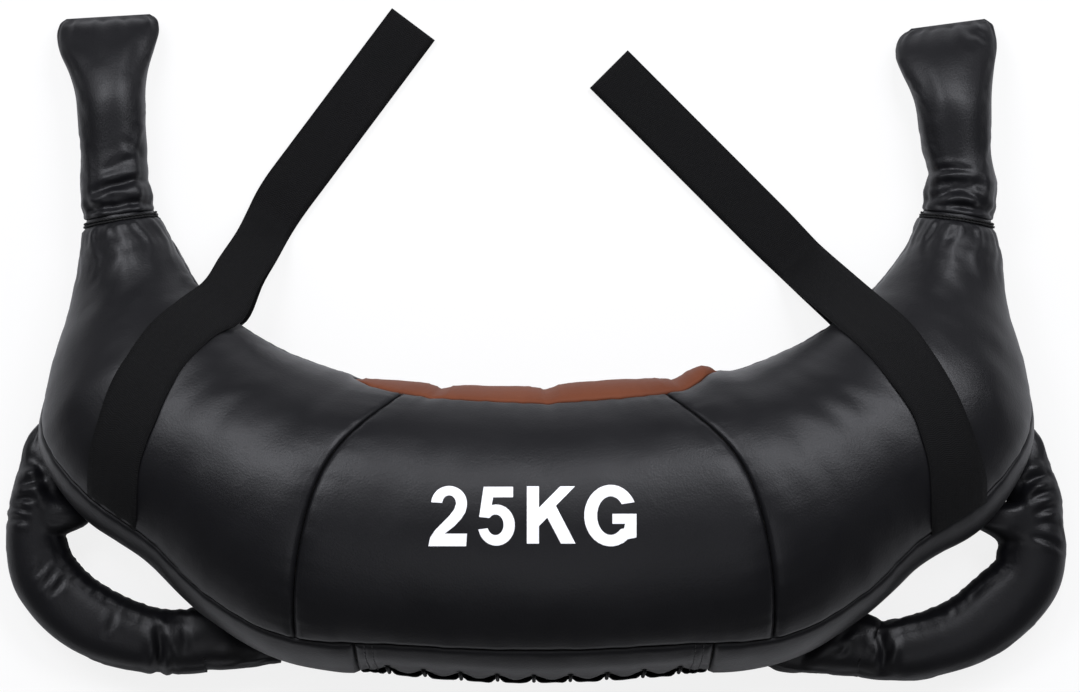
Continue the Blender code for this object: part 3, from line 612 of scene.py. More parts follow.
# Closure. Two punched flaps meet along the outer edge over a tongue of the same leather, and a
# black cord crosses from hole to hole, so the bag can be opened and filled.
HOLE_RADIUS, CORD_RADIUS, STRAND_SHARE = 0.0025, 0.0015, 0.54
FRONT_HOLE, FRONT_EDGE, FRONT_LOBE = (math.radians(a) for a in (19.5, 15, 6.5))
LACE_AT = (np.arange(9) - 4) * LACE_PITCH


def front_slit(t):
    """The front flap's edge hangs in lobes between the holes."""
    return math.pi - FRONT_EDGE + FRONT_LOBE * (0.5 - 0.5 * np.cos(2 * math.pi * t / LACE_PITCH))


def back_slit(t):
    return math.pi + SLIT_ANGLE * (0.8 + 0.35 * np.cos(2 * math.pi * t / LACE_PITCH))


def plain(piece):
    """The piece's modifiers worked into its mesh."""
    shaped = bpy.data.meshes.new_from_object(piece.evaluated_get(bpy.context.evaluated_depsgraph_get()))
    piece.modifiers.clear()
    piece.data = shaped
    return piece


def face_out(mesh):
    shaped = bmesh.new()
    shaped.from_mesh(mesh)
    bmesh.ops.recalc_face_normals(shaped, faces=shaped.faces)
    shaped.to_mesh(mesh)
    shaped.free()


def tube_mesh(name, rings, gap=None):
    """A mesh through rings of points, closed at both ends."""
    count, sides = rings.shape[:2]
    index = np.arange(count * sides).reshape(count, sides)
    faces = ring_quads(index)
    points = rings.reshape(-1, 3).tolist()
    for ring in (index[0], index[-1]):
        points.append(np.mean([points[corner] for corner in ring], axis=0).tolist())
        faces += [(int(a), int(b), len(points) - 1) for a, b in zip(ring, np.roll(ring, -1))]
    mesh = bpy.data.meshes.new(name)
    mesh.from_pydata(points, [], faces)
    face_out(mesh)
    if gap is not None:
        keep_seam(mesh, np.append(gap.ravel(), (0.0, 0.0)))
    return mesh


def run_along(points):
    """Length along a line of points, at each point."""
    return np.concatenate([[0], np.cumsum(np.linalg.norm(np.diff(points, axis=0), axis=1))])


def cord_rings(path, radius, sides, strands=1, lay=1):
    """Rings round a line of points, for a plain cord or for each strand of a twisted one."""
    way = unit(np.gradient(path, axis=0))
    across = np.zeros_like(path)
    across[0] = np.cross(way[0], (0.3, 0.2, 0.9))
    for place in range(len(path)):
        carried = across[place - 1] if place else across[0]
        across[place] = unit(carried - way[place] * carried.dot(way[place]))
    other = np.cross(way, across)
    run = run_along(path)
    turn = np.linspace(0, 2 * math.pi, sides, endpoint=False)
    made = []
    for strand in range(strands):
        twist = 2 * math.pi * (run / lay + strand / strands)
        centre = path.copy()
        thick = radius
        if strands > 1:
            thick = radius * STRAND_SHARE
            centre += (across * np.cos(twist)[:, None] + other * np.sin(twist)[:, None]) * (radius - thick)
        made.append(centre[:, None] + thick * (across[:, None] * np.cos(turn)[None, :, None]
                                               + other[:, None] * np.sin(turn)[None, :, None]))
    return made


def joined(name, meshes):
    whole = bmesh.new()
    for mesh in meshes:
        whole.from_mesh(mesh)
        bpy.data.meshes.remove(mesh)
    made = bpy.data.meshes.new(name)
    whole.to_mesh(made)
    whole.free()
    return made


def resampled(points, count):
    run = run_along(points)
    return np.stack([np.interp(np.linspace(0, run[-1], count), run, points[:, axis]) for axis in range(3)], 1)


def lifted(t, turn, lift):
    t, turn = np.asarray(t, float), np.asarray(turn, float)
    return cover(t, turn)[0] + outward(t, turn) * lift


def cut_with(piece, operation, cutter):
    """Cut a piece with the joined meshes of a cutter, or keep only what lies inside them."""
    tool = linked("cutter", joined("cutter", cutter))
    cut = piece.modifiers.new("cut", "BOOLEAN")
    cut.operation, cut.solver, cut.object = operation, "EXACT", tool
    plain(piece)
    bpy.data.objects.remove(tool)


def punched(name, node, low, high, hole_turn, slit):
    """A flap of the closure with a row of holes."""
    flap = panel(name, node, -CLOSURE_AT, CLOSURE_AT, low, high, 130, 22, hem=slit)
    drills = []
    for t in LACE_AT:
        line = np.array([lifted(t, hole_turn, lift) for lift in (0.004, -0.006)])
        drills.append(tube_mesh("drill", cord_rings(line, HOLE_RADIUS, 16)[0]))
    cut_with(flap, "DIFFERENCE", drills)


punched("closure_flap_front", "closure_front_flap", lower_seam, front_slit, math.pi - FRONT_HOLE, front_slit)
punched("closure_flap_back", "closure_back_flap", back_slit, below(lower_seam), math.pi + HOLE_ANGLE,
        back_slit)

TONGUE_DROP = 0.0074
t, turn = crossed(np.linspace(-CLOSURE_AT + 0.02, CLOSURE_AT - 0.02, 70),
                  math.pi + TONGUE_ANGLE * np.linspace(-1.7, 1, 18))
tongue = grid_mesh("tongue", face(t, turn) - outward(t, turn) * TONGUE_DROP, np.full(t.shape, 0.02))
thicken(place_piece("closure_tongue_leather", tongue, black_leather, "bag", "black_leather", "closure_tongue"),
        LEATHER)


def cord_look(place):
    fuzz = place.noise(900, 3)
    colour = fuzz.between((0.003, 0.003, 0.003), (0.009, 0.009, 0.009))
    return {"Base Color": colour, "Roughness": fuzz * 0.15 + 0.55, "Normal": fuzz.bump(0.5, 0.0002)}


lace_cord = look("lace_cord", cord_look, 0.2)
LACE_OVER, LACE_UNDER = 0.0019, -0.0034
lace_route = []
for t in LACE_AT:
    front, back = math.pi - FRONT_HOLE, math.pi + HOLE_ANGLE
    lace_route.append(lifted(t, front, LACE_UNDER))
    lace_route += [lifted(t, turn, LACE_OVER) for turn in (front, front + 0.03, math.pi - FRONT_EDGE)]
    lace_route += [lifted(t, turn, LACE_OVER) for turn in (math.pi + SLIT_ANGLE, back - 0.03, back)]
    lace_route.append(lifted(t, back, LACE_UNDER))
lace_route = resampled(np.array(lace_route), 900)
for _ in range(3):
    lace_route[1:-1] = (lace_route[1:-1] * 2 + lace_route[2:] + lace_route[:-2]) / 4


def cord_piece(name, strands, node):
    mesh = joined(name, [tube_mesh("strand", rings) for rings in strands])
    place_piece(name, mesh, lace_cord, "bag", "lace_cord", node)


cord_piece("closure_lacing", cord_rings(lace_route, CORD_RADIUS, 7, strands=3, lay=0.009), "closure_lace")


# Stitching. Two rows of black thread hold each end of the closure to the gusset. Geometry Nodes lay
# a stitch at every step along a line and turn it to follow the line.
STITCH_STEP, STITCH_LENGTH, THREAD = 0.0042, 0.0034, 0.00045


def stitch_nodes(material):
    """A node tree that lays a stitch at every step along lines."""
    tree = bpy.data.node_groups.new("stitches", "GeometryNodeTree")
    for label, kind in (("Lines", "Geometry"), ("Step", "Float"), ("Length", "Float"), ("Thread", "Float"),
                        ("Seed", "Int")):
        tree.interface.new_socket(name=label, in_out="INPUT", socket_type="NodeSocket" + kind)
    tree.interface.new_socket(name="Stitches", in_out="OUTPUT", socket_type="NodeSocketGeometry")
    start = Wire(tree)
    lines, step, length, thread, seed = (start.node("NodeGroupInput", output=place) for place in range(5))
    curve = start.node("GeometryNodeMeshToCurve", None, {0: lines})
    even = start.node("GeometryNodeResampleCurve", {"mode": "LENGTH"}, {"Curve": curve, "Length": step})
    tangent = start.node("GeometryNodeInputTangent")
    turned = start.node("FunctionNodeAlignRotationToVector", {"axis": "X"}, {"Vector": tangent})
    uneven = start.node("FunctionNodeRandomValue", None, {2: 0.42, 3: 0.55, 8: seed}, output=1)
    size = start.node("CombineXYZ", None, {0: length * uneven, 1: thread, 2: thread})
    bead = start.node("GeometryNodeMeshUVSphere", None, {"Segments": 8, "Rings": 6, "Radius": 1.0})
    laid = start.node("GeometryNodeInstanceOnPoints", None,
                      {"Points": even, "Instance": bead, "Rotation": turned, "Scale": size})
    real = start.node("GeometryNodeRealizeInstances", None, {0: laid})
    finished = start.node("GeometryNodeSetMaterial", None, {"Geometry": real, "Material": material})
    tree.links.new(finished.socket, tree.nodes.new("NodeGroupOutput").inputs[0])
    return tree


def stitched(name, rows, nodes, seed):
    """One object with stitches along rows of points."""
    points = np.concatenate(rows)
    starts = np.cumsum([0] + [len(row) for row in rows[:-1]])
    edges = [(int(first) + place, int(first) + place + 1)
             for first, row in zip(starts, rows) for place in range(len(row) - 1)]
    mesh = bpy.data.meshes.new(name)
    mesh.from_pydata(points.tolist(), edges, [])
    made = linked(name, mesh)
    modifier = made.modifiers.new("stitches", "NODES")
    modifier.node_group = nodes
    named = {item.name: item.identifier for item in nodes.interface.items_tree if item.in_out == "INPUT"}
    for key, value in (("Step", STITCH_STEP), ("Length", STITCH_LENGTH), ("Thread", THREAD), ("Seed", seed)):
        modifier[named[key]] = value
    plain(made)
    made.data.polygons.foreach_set("use_smooth", [True] * len(made.data.polygons))
    return made


def thread_look(place):
    fuzz = place.noise(1500, 2)
    colour = fuzz.between((0.010, 0.010, 0.011), (0.030, 0.030, 0.032))
    return {"Base Color": colour, "Roughness": fuzz * 0.2 + 0.45}


stitch_tree = stitch_nodes(look("black_thread", thread_look, 0.4))
for side, name in ((-1, "left"), (1, "right")):
    rows = []
    for row in STITCH_ROWS:
        start, end = lower_seam(np.array(row)) + 0.02, math.pi - math.radians(6)
        rows.append(lifted(side * row, np.linspace(start, end, 60), THREAD * 0.5))
        rows.append(lifted(side * row, 2 * math.pi - np.linspace(start, end, 60), THREAD * 0.5))
    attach(stitched("closure_stitches_" + name, rows, stitch_tree, 3 + side), "bag")


# Sand bags. Three bags of unbleached calico, filled with dry sand and shut in the leather cover;
# they carry nearly all the weight and keep the middle bag's seam back behind the lacing.
def calico_look(place):
    threads = [place.node("TexWave", {"bands_direction": way},
                          {"Vector": place, "Scale": 320, "Distortion": 0.6}, "Fac") for way in ("X", "Y")]
    slubs = place.noise(60, 4)
    weave = threads[0] * threads[1]
    colour = (weave * 0.5 + slubs * 0.5).between((0.42, 0.37, 0.28), (0.66, 0.61, 0.50))
    return {"Base Color": colour, "Roughness": 0.85 + slubs * 0.1, "Normal": weave.bump(0.6, 0.0003)}


calico = look("calico", calico_look, 0.2)
BAG_DEPTH, BEHIND_LACING, LUMPS, BAG_RINGS = 0.0062, 0.0048, 0.0006, 60
for name, node, start, end in (("sand_bag_centre", "sand_liner_centre", -1.95, 1.95),
                               ("sand_bag_left", "sand_liner_left", -8.55, -2.05),
                               ("sand_bag_right", "sand_liner_right", 2.05, 8.55)):
    t, turn = crossed(np.linspace(start, end, BAG_RINGS), np.linspace(0, 2 * math.pi, 64, endpoint=False))
    behind = 1 - soft_step(np.abs(t), CLOSURE_AT + 0.05, SEAM_AT - 0.06)
    behind *= 1 - soft_step(np.abs(turn - math.pi), *np.radians((29, 50)))
    depth = BAG_DEPTH + BEHIND_LACING * behind + LUMPS * ripple(t * 3 + turn, 1.7)
    rings = face(t, turn) - outward(t, turn) * depth[..., None]
    middles = rings.mean(axis=1, keepdims=True)
    near = np.minimum(np.arange(BAG_RINGS), np.arange(BAG_RINGS)[::-1])
    rings = middles + (rings - middles) * np.sqrt(np.clip((near + 0.35) / 4, 0, 1))[:, None, None]
    place_piece(name, tube_mesh(name, rings), calico, "bag", "sand_filled_fabric", node)


# Neck bindings. Waxed black cord wound twice round each neck, which draws the leather in. The grip's
# sleeve swells over it from above and the neck from below, so that only a dark fold shows.
WAXED_RADIUS, BINDING_REACH = 0.0010, 0.035
for side, name in ((-1, "left_neck"), (1, "right_neck")):
    turns = np.linspace(0, 2 * math.pi * 2, 200)
    rise = BINDING_REACH * np.linspace(-1, 1, 200)
    path = np.array([lifted(side * (TIE_AT + r), a, WAXED_RADIUS) for r, a in zip(rise, turns)])
    cord_piece(name + "_binding", cord_rings(path, WAXED_RADIUS, 7, strands=2, lay=0.006), name + "_tie")


# Upright grips. Padded leather sleeves that grow out of the gathered necks and end in a flat sewn
# edge, like a pillow; the leather folds where the grip bends on the binding.
GRIP_LIFT, GRIP_ROOT, HINGE_GAP = 0.0055, 0.0235, 0.0003
GRIP_TOP_TILTS = {-1: math.radians(3.4), 1: math.radians(7.6)}
GRIP_GROWTH, GRIP_FOLDS, GRIP_GATHER, GRIP_END_PUCKER = 0.14, 0.35, 0.0011, 0.0012
FOOT_MIDDLE, FOOT_HALF_HEIGHT = 0.0298, 0.0262

# Reach beyond the neck's end, and how much narrower than the neck, in metres.
GRIP_FOOT = ((-0.0052, 0.0080), (-0.0051, 0.0040), (-0.0042, 0.0008), (-0.0015, -0.0008),
             (0.010, -0.0008), (0.024, 0.0))

# Height up the photograph, left and right edge and thickness, in parts of the span.
GRIP_SHARES = {
    -1: ((3609, -4266, -3630, 600), (3985, -4286, -3652, 610), (4173, -4308, -3655, 585),
         (4361, -4366, -3630, 515), (4549, -4452, -3578, 415), (4700, -4486, -3538, 310),
         (4800, -4478, -3552, 220), (4852, -4444, -3596, 120)),
    1: ((3609, 3640, 4302, 600), (3985, 3598, 4292, 610), (4173, 3548, 4298, 575), (4361, 3468, 4323, 500),
        (4520, 3412, 4352, 410), (4645, 3408, 4345, 310), (4732, 3448, 4325, 210), (4784, 3525, 4285, 120)),
}
# Creases pressed into the top: start and end in pixels of the photograph, depth and width in tenths of
# a millimetre.
TENTHS = 10000
GRIP_CREASES = {
    -1: ((98, 193, 126, 184, 30, 30), (118, 186, 150, 180, 26, 28), (84, 214, 120, 207, 34, 30),
         (116, 207, 156, 204, 34, 28), (110, 170, 142, 158, 10, 30), (104, 200, 128, 198, 12, 22),
         (128, 142, 146, 160, 8, 30), (72, 30, 96, 58, 10, 50), (140, 32, 132, 70, 10, 50)),
    1: ((924, 202, 975, 186, 36, 42), (930, 188, 962, 182, 20, 26), (926, 173, 968, 171, 14, 22),
        (934, 207, 990, 214, 34, 28), (958, 190, 992, 216, 18, 26), (972, 30, 984, 40, 18, 26),
        (966, 24, 972, 44, 12, 30), (914, 60, 930, 112, 8, 50)),
}


def in_metres(across, down):
    return np.array([(across - ZERO_ACROSS) * PIXEL, (ZERO_DOWN - down) * PIXEL])


def pressed(points, normals, creases):
    """How far creases push a surface in, with a soft roll beside each."""
    lift = np.zeros(points.shape[:-1])
    top = soft_step(normals[..., 2], -0.5, 0.25)
    for x0, y0, x1, y1, *sizes in creases:
        start, end = in_metres(x0, y0), in_metres(x1, y1)
        depth, width = (size / TENTHS for size in sizes)
        way = end - start
        share = np.clip(((points[..., :2] - start) @ way) / (way @ way), 0, 1)
        bow = 0.06 * np.sin(share * math.pi)[..., None] * np.array([-way[1], way[0]])
        gap = np.linalg.norm(points[..., :2] - (start + share[..., None] * way + bow), axis=-1)
        taper = 0.35 + 0.65 * np.sin(math.pi * np.clip(share, 0.02, 0.98))
        lift += top * taper * depth * (0.45 * hump(gap, 2.2 * width, 1.3 * width) - hump(gap, 0, width))
    return lift


def grid_normals(rings):
    """Outward normals of a grid of rings round a middle line."""
    along = np.gradient(rings, axis=0)
    around = np.roll(rings, -1, axis=1) - np.roll(rings, 1, axis=1)
    normals = np.cross(along, around)
    normals /= np.linalg.norm(normals, axis=-1, keepdims=True) + 1e-12
    out = rings - rings.mean(axis=1, keepdims=True)
    return normals * np.sign((normals * out).sum(-1).mean())


def stuffed(rows, count, sides, power, tilts=None):
    """Rings of a stuffed sleeve through rows of middle x, y, z, half width and half height.

    They stand square to the middle line, or turn from the first of two tilts to the second.
    """
    rows = np.array(rows, float)
    fine = row_at(rows, np.linspace(0, len(rows) - 1, 600))
    pace = run_along(fine)
    even = np.linspace(0, pace[-1], count)
    values = np.stack([np.interp(even, pace, fine[:, k]) for k in range(5)], 1)
    run = np.interp(even, pace, run_along(fine[:, :3]))
    if tilts:
        angle = tilts[0] + (tilts[1] - tilts[0]) * soft_step(run, 0.02, run[-1])
    else:
        way = np.gradient(values[:, :2], axis=0)
        angle = np.arctan2(-way[:, 0], way[:, 1])
    across = np.stack([np.cos(angle), np.sin(angle), np.zeros(count)], 1)
    turn = np.linspace(0, 2 * math.pi, sides, endpoint=False)
    side, lift = np.cos(turn), np.sin(turn)
    reach = (np.abs(side) ** power + np.abs(lift) ** power) ** (-1 / power)
    rings = values[:, None, :3] + across[:, None] * (values[:, 3:4] * (reach * side)[None])[..., None]
    rings[..., 2] += values[:, 4:5] * (reach * lift)[None]
    return rings, run, turn


def crumpled(rings, held, growth):
    """Small folds of a relaxed sleeve, as a lift along its normals."""
    lift = relaxed_lift(rings, grid_normals(rings), held, np.ones(held.shape), growth, 11, 2)
    return np.clip(lift, -0.0012, 0.0016)


def still_ends(run, reach):
    """Shares that keep a lift away from both ends of a sleeve."""
    return soft_step(run, 0, reach)[:, None] * soft_step(run[-1] - run, 0, reach)[:, None]


def foam_look(place):
    cells = place.node("TexVoronoi", {"feature": "F1"}, {"Vector": place, "Scale": 900})
    clouds = place.noise(25, 3)
    colour = clouds.between((0.50, 0.46, 0.36), (0.66, 0.63, 0.55))
    return {"Base Color": colour, "Roughness": clouds * 0.1 + 0.85, "Normal": cells.bump(0.6, 0.0003)}


foam = look("foam", foam_look, 0.2)


def sleeve_piece(name, points, gap, nodes, still, moving):
    """A padded sleeve, left without a body, with its place baked into its mesh."""
    mesh = tube_mesh(name + "_leather", points, gap)
    made = place_piece(name + "_leather", mesh, black_leather, None, "black_leather", *nodes)
    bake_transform(made)


def core_piece(name, body, rings, depth):
    """The foam inside a sleeve, a little smaller than its rings."""
    mesh = tube_mesh(name + "_foam", rings - grid_normals(rings) * depth)
    place_piece(name + "_foam", mesh, foam, body, "foam", name + "_core")


for side, name in ((-1, "left_grip"), (1, "right_grip")):
    inner, outer, bulge, top = station(np.array(side * float(LAST)))
    edge = unit(outer - inner)
    way = np.array([-edge[1], edge[0], 0]) * side
    neck = (inner + outer) / 2
    half = np.linalg.norm(outer - inner) / 2
    hinge = neck + way * (GRIP_ROOT + HINGE_GAP) + (0, 0, GRIP_LIFT + GRIP_ROOT)
    rows = [(*(neck + way * reach)[:2], FOOT_MIDDLE, half - tuck, FOOT_HALF_HEIGHT - tuck)
            for reach, tuck in GRIP_FOOT]
    for up, low, high, thick in np.array(GRIP_SHARES[side]) / PARTS * SPAN:
        rows.append(((low + high) / 2, up, thick / 2 + GRIP_LIFT, (high - low) / 2, thick / 2))
    rows.append(((low + high) / 2, up + 0.0020, GRIP_LIFT + 0.0045, (high - low) / 2 - 0.0025, 0.0012))
    neck_tilt = math.atan2(edge[1] * side, edge[0] * side)
    rings, run, turn = stuffed(rows, 120, 72, 2.15, (neck_tilt, GRIP_TOP_TILTS[side]))
    held = np.zeros(rings.shape[:2])
    held[:3] = held[-4:] = 1
    normals = grid_normals(rings)
    gathers = hump(run, 0.008, 0.016)[:, None]
    lift = crumpled(rings, held, GRIP_GROWTH) * GRIP_FOLDS
    lift += gathers * GRIP_GATHER * ripple(turn, 0.60, side)[None]
    lift += pressed(rings, normals, GRIP_CREASES[side])
    lift += GRIP_END_PUCKER * hump(run, run[-1], 0.014)[:, None] * ripple(turn, 0.42, side)[None]
    lift *= still_ends(run, 0.004)
    gap = np.minimum(run, run[-1] - run)[:, None] + np.zeros(len(turn))[None]
    sleeve_piece(name, rings + normals * lift[..., None], gap, (name + "_sleeve",),
                 neck + (0, 0, hinge[2]), hinge + way * 0.012)
    core_piece(name, name, rings[(run > 0.026) & (run < run[-1] - 0.008)], 0.0042)


# Grab loops. Padded leather tubes sewn into the outer seam at both ends, with the tube's own seam
# on the inner side, where the leather puckers round the bend.

# Middle x and y and half width of the tube, in parts of the span.
LOOP_ROWS = {
    -1: ((-4601, 1002, 74), (-4672, 833, 128), (-4657, 683, 175), (-4649, 560, 218), (-4668, 400, 246),
         (-4676, 291, 258), (-4690, 113, 276), (-4688, -108, 290), (-4612, -380, 318), (-4402, -646, 334),
         (-4126, -836, 338), (-3797, -959, 315), (-3515, -1012, 298), (-3250, -1012, 300),
         (-3078, -985, 310), (-2890, -1043, 240), (-2702, -1090, 172), (-2514, -1128, 110),
         (-2373, -1147, 70)),
    1: ((4650, 967, 66), (4682, 816, 128), (4660, 685, 185), (4658, 562, 222), (4694, 400, 248),
        (4716, 291, 262), (4709, 85, 282), (4699, -132, 320), (4632, -424, 332), (4390, -687, 352),
        (4094, -905, 335), (3741, -1040, 312), (3477, -1090, 305), (3200, -1095, 268), (3067, -1045, 298),
        (2888, -1069, 265), (2700, -1106, 216), (2512, -1153, 156), (2343, -1191, 109), (2202, -1172, 72)),
}
LOOP_CREASES = {
    -1: ((26, 484, 44, 478, 30, 30), (16, 500, 34, 497, 30, 26), (10, 508, 28, 510, 26, 24),
         (8, 519, 26, 519, 28, 26), (34, 460, 52, 484, 30, 46), (42, 482, 58, 500, 26, 46),
         (160, 632, 158, 674, 46, 34), (168, 640, 172, 676, 18, 22), (46, 560, 38, 574, 16, 22),
         (54, 570, 44, 586, 16, 22), (64, 578, 52, 594, 18, 22), (114, 614, 108, 634, 12, 26),
         (218, 612, 232, 624, 18, 28), (190, 606, 226, 610, 20, 36), (184, 628, 186, 650, 10, 26)),
    1: ((1022, 484, 1048, 474, 40, 36), (1030, 498, 1052, 490, 28, 26), (1038, 512, 1060, 506, 24, 24),
        (1034, 536, 1064, 550, 22, 20), (1020, 486, 1010, 508, 26, 50), (1040, 522, 1056, 524, 12, 24),
        (880, 636, 882, 670, 44, 34), (890, 640, 888, 656, 16, 22), (838, 640, 852, 628, 18, 28),
        (800, 660, 850, 612, 34, 46), (846, 644, 838, 654, 12, 22), (872, 640, 870, 656, 12, 22)),
}
# The leather stretches over to the bag from the loop's upper root: height in the photograph, reach, width.
LOOP_WEBS = {-1: (513, 0.021, 0.0125), 1: (521, 0.032, 0.0150)}
LOOP_LIFT, LOOP_BALL = 0.0010, 0.0205
LOOP_GROWTH, LOOP_FOLDS, LOOP_PUCKER, LOOP_SEAM = 0.16, 0.55, 0.0005, 0.0016
for side, name, body in ((-1, "left_loop", "left_grab_loop"), (1, "right_loop", "right_grab_loop")):
    rows = [(x, y, LOOP_LIFT + LOOP_BALL, half, min(half, LOOP_BALL))
            for x, y, half in np.array(LOOP_ROWS[side]) / PARTS * SPAN]
    rings, run, turn = stuffed(rows, 170, 64, 2.1)
    held = np.zeros(rings.shape[:2])
    held[:3] = held[-3:] = 1
    held[:, 0 if side > 0 else 32] = 1
    normals = grid_normals(rings)
    from_seam = np.mod(turn - (0 if side > 0 else math.pi) + math.pi, 2 * math.pi) - math.pi
    inside = hump(from_seam, 0, 0.75)[None]
    middle = soft_step(run, 0.03, 0.06) * soft_step(run[-1] - run, 0.04, 0.07)
    web_down, web_reach, web_wide = LOOP_WEBS[side]
    web_at = run[np.argmin(np.abs(rings[:85].mean(axis=1)[:, 1] - (ZERO_DOWN - web_down) * PIXEL))]
    lift = crumpled(rings, held, LOOP_GROWTH) * LOOP_FOLDS
    lift += inside * LOOP_PUCKER * (middle * ripple(run, 0.0125, side))[:, None]
    lift += inside * web_reach * np.exp(-((run - web_at) / web_wide) ** 4)[:, None]
    lift -= LOOP_SEAM * hump(from_seam, 0, 0.09)[None]
    lift += pressed(rings, normals, LOOP_CREASES[side])
    lift *= still_ends(run, 0.006)
    gap = np.abs(from_seam)[None] * 0.024 + np.zeros(len(run))[:, None]
    joint = next(j for j in frame["joints"] if j["child"] == body)
    axis = np.array(joint["axis"], float)
    origin = np.array(joint["pos_m"], float)
    away = np.array([axis[1], -axis[0], 0])
    away *= np.sign(away[0]) * side
    sleeve_piece(name, rings + normals * lift[..., None], gap,
                 (name + "_sleeve", name + "_upper_root", name + "_lower_root"),
                 origin - away * 0.020, origin + away * 0.016)
    core_piece(name, body, rings[44:-58], 0.0048)


# Webbing straps. One length of black 40 mm webbing a side, sewn into the outer seam: it comes over
# the wing, runs out over the floor, folds back on itself and returns below the wing.
WEBBING, WEB_WIDTH = 0.0019, 0.0420
LOWER_LAYER, UPPER_LAYER, STRAP_LIFT = 0.0013, 0.0039, 0.0016
# One edge x and y and other edge x and y, from the fold on the floor to the seam, in parts of the span.
STRAP_SHARES = {
    -1: ((-2650, 3186, -2274, 2904), (-2782, 2876, -2387, 2650), (-2951, 2594, -2556, 2359),
         (-3083, 2368, -2707, 2011), (-3289, 2199, -2951, 1861), (-3524, 1992, -3205, 1607),
         (-3722, 1720, -3365, 1335), (-3900, 1410, -3477, 1071), (-4032, 1015, -3562, 865),
         (-4098, 752, -3637, 602), (-4126, 395, -3675, 56)),
    1: ((2246, 2500, 2585, 2838), (2425, 2321, 2782, 2641), (2613, 2143, 2979, 2453),
        (2791, 1974, 3177, 2265), (3092, 1673, 3477, 1983), (3318, 1382, 3703, 1664),
        (3477, 1147, 3882, 1353), (3562, 921, 4004, 1071), (3628, 677, 4098, 818), (3656, 414, 4173, 564),
        (3675, 9, 4192, 320)),
}
STRAP_FREE = {-1: 0.183, 1: 0.201}

# The front runs are laid on the finished leather, so its faces are kept for measuring heights.
top_points, top_quads = [], []
for name in ("front_panel_left", "front_panel_centre", "front_panel_right",
             "gusset_strip_left", "gusset_strip_right"):
    first = len(top_points)
    mesh = bpy.data.objects[name].data
    top_points += [tuple(v.co) for v in mesh.vertices]
    top_quads += [tuple(first + corner for corner in quad.vertices) for quad in mesh.polygons]
cover_top = BVHTree.FromPolygons(top_points, top_quads)


def height_at(point):
    hit = cover_top.ray_cast(Vector((point[0], point[1], 0.5)), Vector((0, 0, -1)))[0]
    return None if hit is None else hit.z


def web_look(place):
    """Woven webbing: flat ribs that lean one way and then the other, with a tighter edge."""
    flat = place.node("UVMap", {"uv_map": "web"}, output="UV")
    parts = [flat.node("SeparateXYZ", None, {0: flat}, way) for way in ("X", "Y")]
    lean = parts[1] * (1 / 0.0050)
    lean = lean.maths("PINGPONG", lean, 1)
    rib = parts[0] * (2 * math.pi / 0.0016) + lean * math.pi * 2
    rib = rib.maths("SINE", rib)
    yarn = parts[1] * (2 * math.pi / 0.0011)
    yarn = yarn.maths("SINE", yarn)
    edge = 1 - (parts[1].maths("PINGPONG", parts[1], WEB_WIDTH / 2) / 0.0016).held()
    fuzz, wear = place.noise(450, 3), place.noise(22, 4)
    weave = rib * 0.35 + yarn * 0.25 + 0.5
    tone = (weave * 0.55 + fuzz * 0.30 + wear * 0.25 - 0.12 + edge * 0.10).held()
    colour = tone.between((0.0007, 0.0007, 0.0008), (0.0042, 0.0042, 0.0046))
    relief = (weave + fuzz * 0.5).bump(0.8, 0.0003)
    return {"Base Color": colour, "Roughness": fuzz * 0.2 + 0.72, "Normal": relief}


black_webbing = look("black_webbing", web_look, 0.17)
ACROSS = np.linspace(0, 1, 9)


def flat_run(rows, along, height):
    """Points over the webbing, at places along the rows of its two edges."""
    edges = row_at(rows, along) * SPAN
    grid = edges[:, None, :2] * (1 - ACROSS)[None, :, None] + edges[:, None, 2:] * ACROSS[None, :, None]
    return np.concatenate([grid, np.full(grid.shape[:2] + (1,), height)], -1)


def over_wing(rows):
    """The front run: flat at the fold on the floor, taut up to the wing, then down over it to the seam."""
    grid = flat_run(rows, np.linspace(0, len(rows) - 1, 120), UPPER_LAYER)
    for column in range(len(ACROSS)):
        line = grid[:, column]
        run = run_along(line[:, :2])
        heights = [height_at(point) for point in line]
        tops = np.array([UPPER_LAYER if h is None else h + STRAP_LIFT for h in heights])
        landing = np.argmax(run > 0.008)
        slopes = (tops[landing + 1:] - UPPER_LAYER) / (run[landing + 1:] - run[landing])
        meets = landing + 1 + int(np.argmax(slopes))
        line[:, 2] = tops
        line[landing:meets, 2] = UPPER_LAYER + slopes.max() * (run[landing:meets] - run[landing])
        line[:landing, 2] = UPPER_LAYER
    for _ in range(6):
        soft = grid[..., 2].copy()
        soft[1:-1] = (soft[1:-1] * 2 + soft[2:] + soft[:-2]) / 4
        soft[:, 1:-1] = (soft[:, 1:-1] * 2 + soft[:, 2:] + soft[:, :-2]) / 4
        grid[..., 2] = np.maximum(soft, np.where(soft > grid[..., 2], soft, grid[..., 2] - 0.0002))
    grid[-3:, :, 2] -= np.array([0.0002, 0.0012, 0.0030])[:, None]
    return grid


